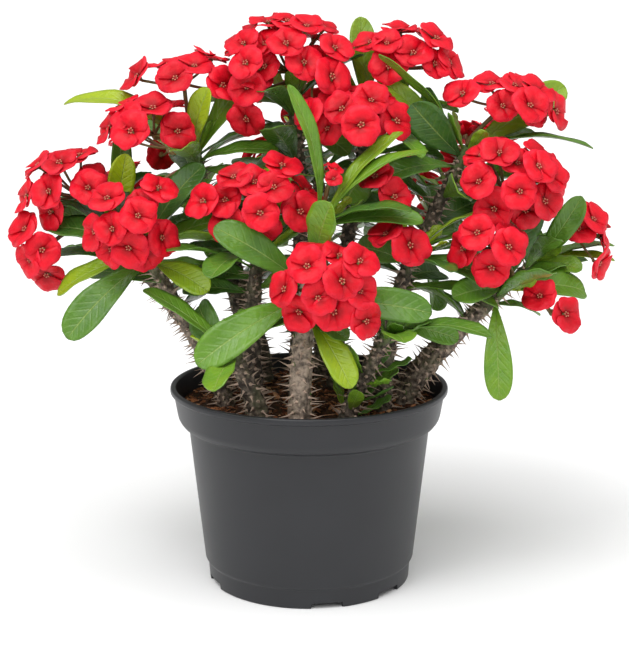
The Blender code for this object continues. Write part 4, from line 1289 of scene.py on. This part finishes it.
def rough_crumb():
    """One crumb of bark, a millimetre in size."""
    start()
    bpy.ops.mesh.primitive_ico_sphere_add(subdivisions=1, radius=0.5 * MM)
    crumb = bpy.context.object
    for vert in crumb.data.vertices:
        vert.co *= 1.0 + 0.45 * noise.noise(vert.co * 2300.0)
    return crumb


def fibre():
    """One strand of coir, a millimetre long."""
    start()
    bpy.ops.mesh.primitive_cylinder_add(vertices=4, radius=0.5 * MM, depth=1.0 * MM)
    return bpy.context.object


def strewn(draw, is_crumb):
    """Size, turns, height above the bed and tone of one crumb or strand."""
    tone = draw.random() ** 1.6
    if is_crumb:
        size = draw.uniform(*CRUMB_LENGTHS)
        scale = (size, size * draw.uniform(0.45, 0.9), size * draw.uniform(0.22, 0.5))
        turn = (draw.uniform(-0.5, 0.5), draw.uniform(-0.5, 0.5), draw.uniform(0.0, 6.3))
        return scale, turn, 0.22 * scale[2] * MM, tone
    scale = (draw.uniform(*STRAND_WIDTHS),) * 2 + (draw.uniform(*STRAND_LENGTHS),)
    turn = (math.pi / 2 + draw.uniform(-0.22, 0.22), 0.0, draw.uniform(0.0, 6.3))
    return scale, turn, 0.4 * MM, 0.5 + 0.5 * tone


def make_crumbs(settings):
    """Bark crumbs and coir strands that lie on the bed, clear of the stems' feet."""
    draw = random.Random(31)
    crumb, strand = rough_crumb(), fibre()
    pieces = []
    for number in range(settings.crumb_count + settings.fibre_count):
        is_crumb = number < settings.crumb_count
        reach, angle = SOIL_EDGE * math.sqrt(draw.random()), draw.uniform(0.0, FULL_TURN)
        x, y = reach * math.cos(angle), reach * math.sin(angle)
        scale, turn, sit, tone = strewn(draw, is_crumb)
        if any(
            math.hypot(x - s.foot[0] * MM, y - s.foot[1] * MM) < s.girth * MM + 0.8 * MM
            for s in STEMS
        ):
            continue
        piece = twin(crumb if is_crumb else strand)
        place = Matrix.Translation((x, y, soil_height(x, y) + sit))
        for angle, axis in ((turn[2], "Z"), (turn[0], "X"), (turn[1], "Y")):
            place = place @ Matrix.Rotation(angle, 4, axis)
        piece.data.transform(place @ Matrix.Diagonal((*scale, 1.0)))
        if max(math.hypot(v.co.x, v.co.y) for v in piece.data.vertices) > SOIL_EDGE:
            removed(piece)
            continue
        set_tone(piece, tone)
        pieces.append(piece)
    crumbs = joined("soil_crumbs", pieces)
    coat(crumbs, paint_crumbs())
    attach(crumbs, BODY)
    removed(crumb, strand)


def bark_tube(stem, lumps):
    """The bare wood, with lumps and scars raised from its surface."""
    shares = [-1.0, -0.4] + [i / WOOD_SAMPLES for i in range(WOOD_SAMPLES + 1)]
    run = []
    for share in shares:
        swell = 1.0 + 0.05 * math.sin(share * 41.0 + len(stem.name))
        run.append((stem_point(stem, share), stem_radius(stem, share) * swell))
    wood = rods(stem.name + "_wood", [run], WOOD_SIDES)
    mesh = wood.data
    layer = mesh.attributes.new("tone", "FLOAT", "POINT")
    normals = [vert.normal.copy() for vert in mesh.vertices]
    for vert, normal in zip(mesh.vertices, normals):
        nearest = min(range(len(run)), key=lambda i: (run[i][0] - vert.co).length_squared)
        layer.data[vert.index].value = max(0.0, shares[nearest])
        lump = noise.noise(vert.co * 150.0) * 0.9 + noise.noise(vert.co * 390.0) * 0.75
        if shares[nearest] < WOOD_TIP:
            vert.co += normal * (lump * lumps)
    set_tone(wood, PALE_STEMS.get(stem.name, DARK_BARK), "pale")
    return wood


def thorn_master(materials):
    """A thorn one unit long, slim over the flared bark shield that carries it."""
    profile = ((2.7, -0.10), (1.5, 0.07), (0.75, 0.17), (0.42, 0.5), (0.05, 1.0))
    thorn = drawn_up("thorn", profile, 5)
    coat(thorn, *materials)
    for face in thorn.data.polygons:
        face.material_index = 0 if face.center.z < 0.10 else 1
    smooth(thorn, 60.0)
    return thorn


def seated(piece, side, other, look, place):
    """Moves the piece's mesh to a place, its axes along three given ones."""
    rows = [[side[k], other[k], look[k], place[k]] for k in range(3)]
    piece.data.transform(Matrix(rows + [[0.0, 0.0, 0.0, 1.0]]))


def make_wood(settings, plan):
    """Bark and thorns of every stem."""
    bark = paint_wood(settings.bark_colour, settings.moss_colour, settings.young_wood)
    thorn_finish = paint_thorn(settings.thorn_colour)
    master = thorn_master((bark, thorn_finish))
    for stem in STEMS:
        draw = random.Random(f"thorn tone {stem.name}")
        pale = PALE_STEMS.get(stem.name, DARK_BARK)
        wood = bark_tube(stem, settings.bark_lumps)
        coat(wood, bark, thorn_finish)
        smooth(wood)
        pieces = [wood]
        laid = plan.thorns[stem.name]
        for root, tip in fine_thorns(stem, laid, plan.room, settings.thorn_spacing):
            way = tip - root
            side = way.orthogonal().normalized()
            other = way.normalized().cross(side)
            thorn = twin(master)
            seated(thorn, side * (THORN_ROOT * 0.8), other * (THORN_ROOT * 0.8), way, root)
            set_tone(thorn, min(1.0, draw.random() * 0.6 + pale * 0.6))
            set_tone(thorn, pale, "pale")
            pieces.append(thorn)
        dressed(joined(stem.name + "_wood", pieces), stem.name)
    removed(master)


def leaf_width(t):
    """Half width against the widest: a narrow foot, widest past the middle, and a round tip."""
    return max(0.085, t * math.sqrt(max(0.0, 1.0 - t ** 2.2)) / 0.517)


def leaf_master():
    """A flat sheet with a thickness and a map, ready to be laid on a leaf's own curve."""
    start()
    bpy.ops.mesh.primitive_grid_add(
        x_subdivisions=LEAF_COLUMNS, y_subdivisions=LEAF_ROWS, size=1.0, calc_uvs=True
    )
    sheet = bpy.context.object
    sheet.data.uv_layers[0].name = "UVMap"
    coat(sheet, None, None)
    finished("SOLIDIFY", sheet, thickness=0.2, offset=0.0, material_offset=1)
    return sheet


def laid_on(blade, sheet, thickness, draw):
    """A copy of the sheet on the blade's curve: folded, waved at its margin, a little twisted."""
    leaf = twin(sheet)
    rib, looks = midrib(blade)
    phase, waves = draw.uniform(0.0, 6.3), draw.uniform(2.2, 3.6)
    wave, twist = draw.uniform(0.3, 0.85) * MM, draw.uniform(-0.16, 0.16)
    rows = {}
    for vert in leaf.data.vertices:
        x, y, z = vert.co
        key = round(y, 5)
        if key not in rows:
            t = 1.0 - (1.0 - (y + 0.5)) ** 1.35
            up, ahead = looks(t)
            up = Quaternion(ahead, twist * t) @ up
            rows[key] = (t, rib(t), up, ahead.cross(up), blade.width * 0.5 * leaf_width(t))
        t, middle, up, side, reach = rows[key]
        s = 2.0 * x
        fold = LEAF_FOLD * 1.25 * reach * abs(s) ** 1.5
        groove = -0.35 * MM * math.exp(-((s / 0.12) ** 2)) * (1.0 - t)
        ripple = wave * math.sin(waves * FULL_TURN * t + phase + (1.2 if s > 0 else 0.0))
        ripple *= s * s * min(1.0, t * 2.5) * (1.0 if t < 0.97 else 0.3)
        lift = fold + groove + ripple + z * 5.0 * thickness
        vert.co = middle + side * (-s * reach) + up * lift
    return leaf


def make_leaves(settings, plan):
    """Every leaf on its stem, in one piece for each stem."""
    greens = (settings.young_leaf, settings.full_leaf, settings.old_leaf, settings.vein)
    upper, under = paint_leaf(*greens), paint_leaf(*greens, under=True)
    sheet = leaf_master()
    for stem in STEMS:
        draw = random.Random(f"leaf look {stem.name}")
        tones = LEAF_TONES.get(stem.name, ())
        leaves = []
        for number, blade in enumerate(plan.blades[stem.name]):
            leaf = laid_on(blade, sheet, settings.leaf_thickness, draw)
            tone = 0.08 + 0.42 * draw.random() ** 1.3
            if (blade.tip - blade.base).length < SHORT_LEAF:
                tone += 0.35 if stem.name != "stem_low_right" else 0.1
            set_tone(leaf, tones[number] if number < len(tones) else tone)
            leaves.append(leaf)
        piece = joined(stem.name + "_leaves", leaves)
        while len(piece.data.materials) < 2:
            piece.data.materials.append(None)
        piece.data.materials[0], piece.data.materials[1] = upper, under
        smooth(mended(piece))
        kept_inside(piece)
        dressed(piece, stem.name)
    removed(sheet)


def bract_master(reach, rise, sweep, thickness):
    """One bract: kidney-shaped, notched, dished, with its foot at the bloom's middle."""
    start()
    bpy.ops.mesh.primitive_circle_add(vertices=BRACT_RIM, radius=1.0, fill_type="NGON")
    bract = bpy.context.object
    edit(bract)
    bpy.ops.mesh.inset(thickness=0.42)
    bpy.ops.mesh.poke()
    bpy.ops.object.mode_set(mode="OBJECT")
    layer = bract.data.attributes.new("reach", "FLOAT", "POINT")
    for vert in bract.data.vertices:
        # The round sheet's own foot becomes the middle, and its margin fans out to both sides.
        x, y = vert.co.x, vert.co.y + 1.0
        from_foot = math.hypot(x, y)
        lean = math.atan2(x, y) if from_foot > 0.001 else 0.0
        out = from_foot / (2.0 * math.cos(lean)) if from_foot > 0.001 else 0.0
        turn = lean * sweep
        notch = 0.08 * math.exp(-((turn / 0.2) ** 2)) + 0.30 * abs(turn / 1.3) ** 3
        wide = reach * MM * (1.0 - notch) * out
        dish = rise * (1.6 * out - 0.8 * out ** 3)
        crease = 1.1 * math.exp(-((turn / 0.28) ** 2)) * out
        ruffle = 0.9 * math.sin(turn * 4.0 + 0.6) * out ** 2
        layer.data[vert.index].value = out
        vert.co = (wide * math.sin(turn), wide * math.cos(turn), (dish - crease + ruffle) * MM)
    finished("SOLIDIFY", bract, thickness=thickness, offset=-1.0)
    smooth(bract)
    return bract


def bloom_master(materials, thickness, gland_radius):
    """A bloom that looks along +Z: four bracts, a ring of glands, and the cup behind them."""
    red, gland_finish, stalk_finish = materials
    pieces = []
    for reach, rise, sweep, turns, sink in BRACT_PAIRS:
        model = bract_master(reach, rise, sweep, thickness)
        for number, degrees in enumerate(turns):
            bract = twin(model)
            lift = Matrix.Translation((0.0, 0.0, (sink - 0.3 * number) * MM))
            bract.data.transform(lift @ Matrix.Rotation(math.radians(degrees), 4, "Z"))
            coat(bract, red)
            pieces.append(bract)
        removed(model)
    for number in range(GLANDS):
        angle = FULL_TURN * number / GLANDS
        start()
        bpy.ops.mesh.primitive_ico_sphere_add(
            subdivisions=1, radius=gland_radius, scale=(1.0, 1.0, 0.6),
            location=(1.3 * MM * math.cos(angle), 1.3 * MM * math.sin(angle), -1.55 * MM),
        )
        gland = fixed(bpy.context.object)
        coat(gland, gland_finish)
        smooth(gland)
        pieces.append(gland)
    back = (BLOOM_THROAT + BLOOM_DISH) / MM
    for name, profile, sides, finish, degrees in (
        # The eye takes the bract finish with no reach, so it is fully coloured with the painted
        # shade of a bract's foot.
        ("eye", ((1.1, -2.4), (0.8, -1.5), (0.3, -1.35)), 6, red, None),
        ("cup", ((STALK_RADIUS / MM, -back - 0.3), (1.1, -5.4), (2.3, -3.4), (1.2, -2.2)), 8,
         stalk_finish, 60.0),
    ):
        piece = drawn_up(name, [(r * MM, z * MM) for r, z in profile], sides)
        coat(piece, finish)
        smooth(piece, degrees)
        pieces.append(piece)
    return joined("bloom", pieces)


def ruffled(piece, depth, draw):
    """Small soft bends, so that no two copies are quite alike."""
    shift = Vector([draw.uniform(-9.0, 9.0) for _ in range(3)])
    for vert in piece.data.vertices:
        vert.co += noise.noise_vector(vert.co * 90.0 + shift) * depth


def make_heads(settings, plan):
    """Every flower head: its stalks and its blooms in one piece."""
    reds = (settings.bract_colour, settings.bract_shade, settings.bract_foot_shade, settings.bract_rim_highlight)
    stalk_finish = paint_stalk(settings.stalk_colour, settings.stalk_olive)
    materials = (paint_bract(*reds), paint_gland(settings.gland_colour), stalk_finish)
    noise.seed_set(HEAD_SEED + 1)
    master = bloom_master(materials, settings.bract_thickness, settings.gland_radius)
    for head in HEADS:
        draw = random.Random(f"bloom look {head.name}")
        points = peduncle_points(head)
        runs = [finer(list(zip(points, peduncle_radii(points, 0.8, 0.5))))]
        pieces = []
        for bloom in plan.blooms[head.name]:
            side, other, look = bloom_frame(bloom)
            piece = twin(master)
            ruffled(piece, settings.ruffle_depth, draw)
            turn = Matrix.Rotation(draw.uniform(-0.1, 0.1), 4, "X")
            piece.data.transform(turn @ Matrix.Scale(bloom.size, 4))
            seated(piece, side, other, look, bloom.place)
            set_tone(piece, draw.random() ** 1.5)
            pieces.append(piece)
            back = bloom.place - look * ((BLOOM_THROAT + BLOOM_DISH) * bloom.size)
            sag = Vector((0.0, 0.0, -0.04 * (back - bloom.fork).length))
            middle = bloom.fork.lerp(back, 0.5) + sag
            thick = STALK_RADIUS * min(1.0, 0.4 + 0.6 * bloom.size)
            runs.append(finer([(bloom.fork, thick * 1.3), (middle, thick), (back, thick * 1.05)]))
        stalks = rods(head.name + "_stalks", runs, 8)
        coat(stalks, stalk_finish)
        smooth(stalks)
        piece = joined(head.name + "_bloom", [stalks] + pieces)
        kept_inside(piece)
        dressed(piece, head.name)
    removed(master)


def make_stage(settings):
    """Pale floor, soft light, and the camera where the picture was taken from."""
    start()
    bpy.ops.mesh.primitive_plane_add(size=600.0, location=(0.0, 0.0, -0.0002))
    floor = fixed(bpy.context.object)
    floor.name = "floor"
    coat(floor, paint_floor(settings.floor_colour))
    world = bpy.context.scene.world = bpy.data.worlds.new("studio")
    world.use_nodes = True
    tree = world.node_tree
    light, plain = tree.nodes["Background"], tree.nodes.new("ShaderNodeBackground")
    light.inputs["Color"].default_value = plain.inputs["Color"].default_value = (1.0,) * 4
    light.inputs["Strength"].default_value = settings.sky_strength
    seen, both = tree.nodes.new("ShaderNodeLightPath"), tree.nodes.new("ShaderNodeMixShader")
    for number, socket in enumerate(
        (seen.outputs["Is Camera Ray"], light.outputs[0], plain.outputs[0])
    ):
        tree.links.new(socket, both.inputs[number])
    tree.links.new(both.outputs[0], tree.nodes["World Output"].inputs[0])
    for name, share, width, turn in LAMPS:
        start()
        bpy.ops.object.light_add(type="SUN", rotation=[math.radians(a) for a in turn])
        lamp = bpy.context.object
        lamp.name = name
        lamp.data.energy = settings.key_strength * share
        lamp.data.angle = math.radians(width)
    tilt = math.radians(90.0 - CAMERA_FALL)
    bpy.ops.object.camera_add(location=CAMERA_PLACE, rotation=(tilt, 0.0, 0.0))
    bpy.context.scene.camera = bpy.context.object
    lens = bpy.context.object.data
    lens.sensor_fit, lens.sensor_height, lens.lens = "VERTICAL", CAMERA_SENSOR, CAMERA_LENS
    lens.dof.use_dof = False
    lens.clip_end = 1000.0
    bpy.context.scene.view_settings.view_transform = "Standard"


def size(label, about, default):
    return bpy.props.FloatProperty(
        name=label, description=about, default=default, min=0.0, precision=5,
        subtype="DISTANCE", unit="LENGTH",
    )


def colour(label, about, default):
    return bpy.props.FloatVectorProperty(
        name=label, description=about, default=default, subtype="COLOR", size=3, min=0.0, max=1.0
    )


class CrownPlantPot(bpy.types.PropertyGroup):
    """The nursery pot and what fills it."""

    pot_colour: colour("Pot", "Colour of the pot's plastic", (0.0160, 0.0168, 0.0195))
    crumb_count: bpy.props.IntProperty(
        name="Crumbs", description="How many bark crumbs are strewn", default=1500, min=1
    )
    fibre_count: bpy.props.IntProperty(
        name="Strands", description="How many coir strands are strewn", default=260, min=1
    )


class CrownPlantGreens(bpy.types.PropertyGroup):
    """Looks of wood, thorns and leaves."""

    bark_colour: colour("Bark", "Middle colour of old wood", (0.150, 0.118, 0.092))
    moss_colour: colour("Mossy bark", "Greenish colour on old wood", (0.085, 0.095, 0.045))
    young_wood: colour("Young wood", "Colour near a growing tip", (0.085, 0.13, 0.035))
    thorn_colour: colour("Thorn", "Colour of a pale thorn", (0.60, 0.44, 0.34))
    young_leaf: colour("Young leaf", "Colour of a fresh leaf", (0.40, 0.50, 0.008))
    full_leaf: colour("Leaf", "Colour of a full-grown leaf", (0.135, 0.285, 0.022))
    old_leaf: colour("Old leaf", "Colour of an old leaf", (0.030, 0.098, 0.022))
    bark_lumps: size("Bark lumps", "Height of the lumps on old wood", 1.0 * MM)
    thorn_spacing: size("Thorn spacing", "Rise from one thorn to the next", 0.95 * MM)
    leaf_thickness: size("Leaf thickness", "Thickness of a leaf", 0.55 * MM)
    vein: colour("Vein", "Colour of midrib and veins", (0.33, 0.44, 0.12))


class CrownPlantBlooms(bpy.types.PropertyGroup):
    """Looks of the flower heads."""

    bract_colour: colour("Bract", "Colour of a fresh bract", (0.78, 0.003, 0.018))
    # Old bract: the colour of an older bloom, and also the painted shade that darkens every bract
    # towards its middle.
    bract_shade: colour("Old bract", "Colour of an older bract", (0.45, 0.001, 0.008))
    # Painted shade at the foot of each bract, round the bloom's middle.
    bract_foot_shade: colour("Bract foot", "Colour at the foot of a bract", (0.24, 0.0, 0.002))
    # Painted highlight that makes each bract paler pink towards its rim.
    bract_rim_highlight: colour("Bract rim", "Colour at the rim of a bract", (0.92, 0.030, 0.065))
    gland_colour: colour("Gland", "Colour of the glands round the middle", (0.75, 0.22, 0.13))
    stalk_colour: colour("Stalk", "Reddish colour of the stalks", (0.20, 0.055, 0.030))
    stalk_olive: colour("Stalk, green part", "Olive colour of the stalks", (0.16, 0.19, 0.045))
    bract_thickness: size("Bract thickness", "Thickness of a bract", 0.35 * MM)
    gland_radius: size("Gland radius", "Half width of a gland", 0.62 * MM)
    ruffle_depth: size("Ruffle", "How far a bract's edge is bent", 1.2 * MM)


class CrownPlantStage(bpy.types.PropertyGroup):
    """Floor and light."""

    floor_colour: colour("Floor", "Colour of the studio floor", (0.96, 0.96, 0.96))
    sky_strength: bpy.props.FloatProperty(
        name="Sky", description="Strength of the light from all sides", default=0.38, min=0.0
    )
    key_strength: bpy.props.FloatProperty(
        name="Key", description="Strength of the soft main light", default=2.45, min=0.0
    )


class CROWNPLANT_OT_pot(bpy.types.Operator):
    """Dress the nursery pot"""

    bl_idname = "crown_plant.pot"
    bl_label = "Nursery Pot"

    def execute(self, context):
        make_pot(context.scene.crown_plant_pot)
        return {"FINISHED"}


class CROWNPLANT_OT_soil(bpy.types.Operator):
    """Fill the pot with soil, bark crumbs and coir"""

    bl_idname = "crown_plant.soil"
    bl_label = "Soil"

    def execute(self, context):
        make_soil()
        make_crumbs(context.scene.crown_plant_pot)
        return {"FINISHED"}


class CROWNPLANT_OT_wood(bpy.types.Operator):
    """Dress the stems with bark and thorns"""

    bl_idname = "crown_plant.wood"
    bl_label = "Stems and Thorns"

    def execute(self, context):
        make_wood(context.scene.crown_plant_greens, planned())
        return {"FINISHED"}


class CROWNPLANT_OT_leaves(bpy.types.Operator):
    """Lay the leaves on their stems"""

    bl_idname = "crown_plant.leaves"
    bl_label = "Leaves"

    def execute(self, context):
        make_leaves(context.scene.crown_plant_greens, planned())
        return {"FINISHED"}


class CROWNPLANT_OT_heads(bpy.types.Operator):
    """Open the flower heads"""

    bl_idname = "crown_plant.heads"
    bl_label = "Flower Heads"

    def execute(self, context):
        make_heads(context.scene.crown_plant_blooms, planned())
        return {"FINISHED"}


class CROWNPLANT_OT_stage(bpy.types.Operator):
    """Set up the floor, the light and the camera"""

    bl_idname = "crown_plant.stage"
    bl_label = "Stage"

    def execute(self, context):
        make_stage(context.scene.crown_plant_stage)
        return {"FINISHED"}


class CROWNPLANT_PT_sidebar(bpy.types.Panel):
    """Sizes, colours and steps of the plant"""

    bl_label = "Crown of Thorns"
    bl_idname = "CROWNPLANT_PT_sidebar"
    bl_space_type = "VIEW_3D"
    bl_region_type = "UI"
    bl_category = "Plant"

    def draw(self, context):
        for name in GROUPS:
            box = self.layout.box()
            settings = getattr(context.scene, name)
            for key in settings.__annotations__:
                box.prop(settings, key)
        for operator in OPERATORS:
            self.layout.operator(operator.bl_idname)


GROUPS = {
    "crown_plant_pot": CrownPlantPot,
    "crown_plant_greens": CrownPlantGreens,
    "crown_plant_blooms": CrownPlantBlooms,
    "crown_plant_stage": CrownPlantStage,
}
OPERATORS = (
    CROWNPLANT_OT_pot, CROWNPLANT_OT_soil, CROWNPLANT_OT_wood,
    CROWNPLANT_OT_leaves, CROWNPLANT_OT_heads, CROWNPLANT_OT_stage,
)


def register():
    for kind in (*GROUPS.values(), *OPERATORS, CROWNPLANT_PT_sidebar):
        bpy.utils.register_class(kind)
    for name, kind in GROUPS.items():
        setattr(bpy.types.Scene, name, bpy.props.PointerProperty(type=kind))


def unregister():
    for name in GROUPS:
        delattr(bpy.types.Scene, name)
    for kind in (CROWNPLANT_PT_sidebar, *reversed(OPERATORS), *reversed(GROUPS.values())):
        bpy.utils.unregister_class(kind)


def main():
    register()
    bpy.ops.crown_plant.pot()
    bpy.ops.crown_plant.soil()
    bpy.ops.crown_plant.wood()
    bpy.ops.crown_plant.leaves()
    bpy.ops.crown_plant.heads()
    bpy.ops.crown_plant.stage()


if __name__ == "__main__":
    main()
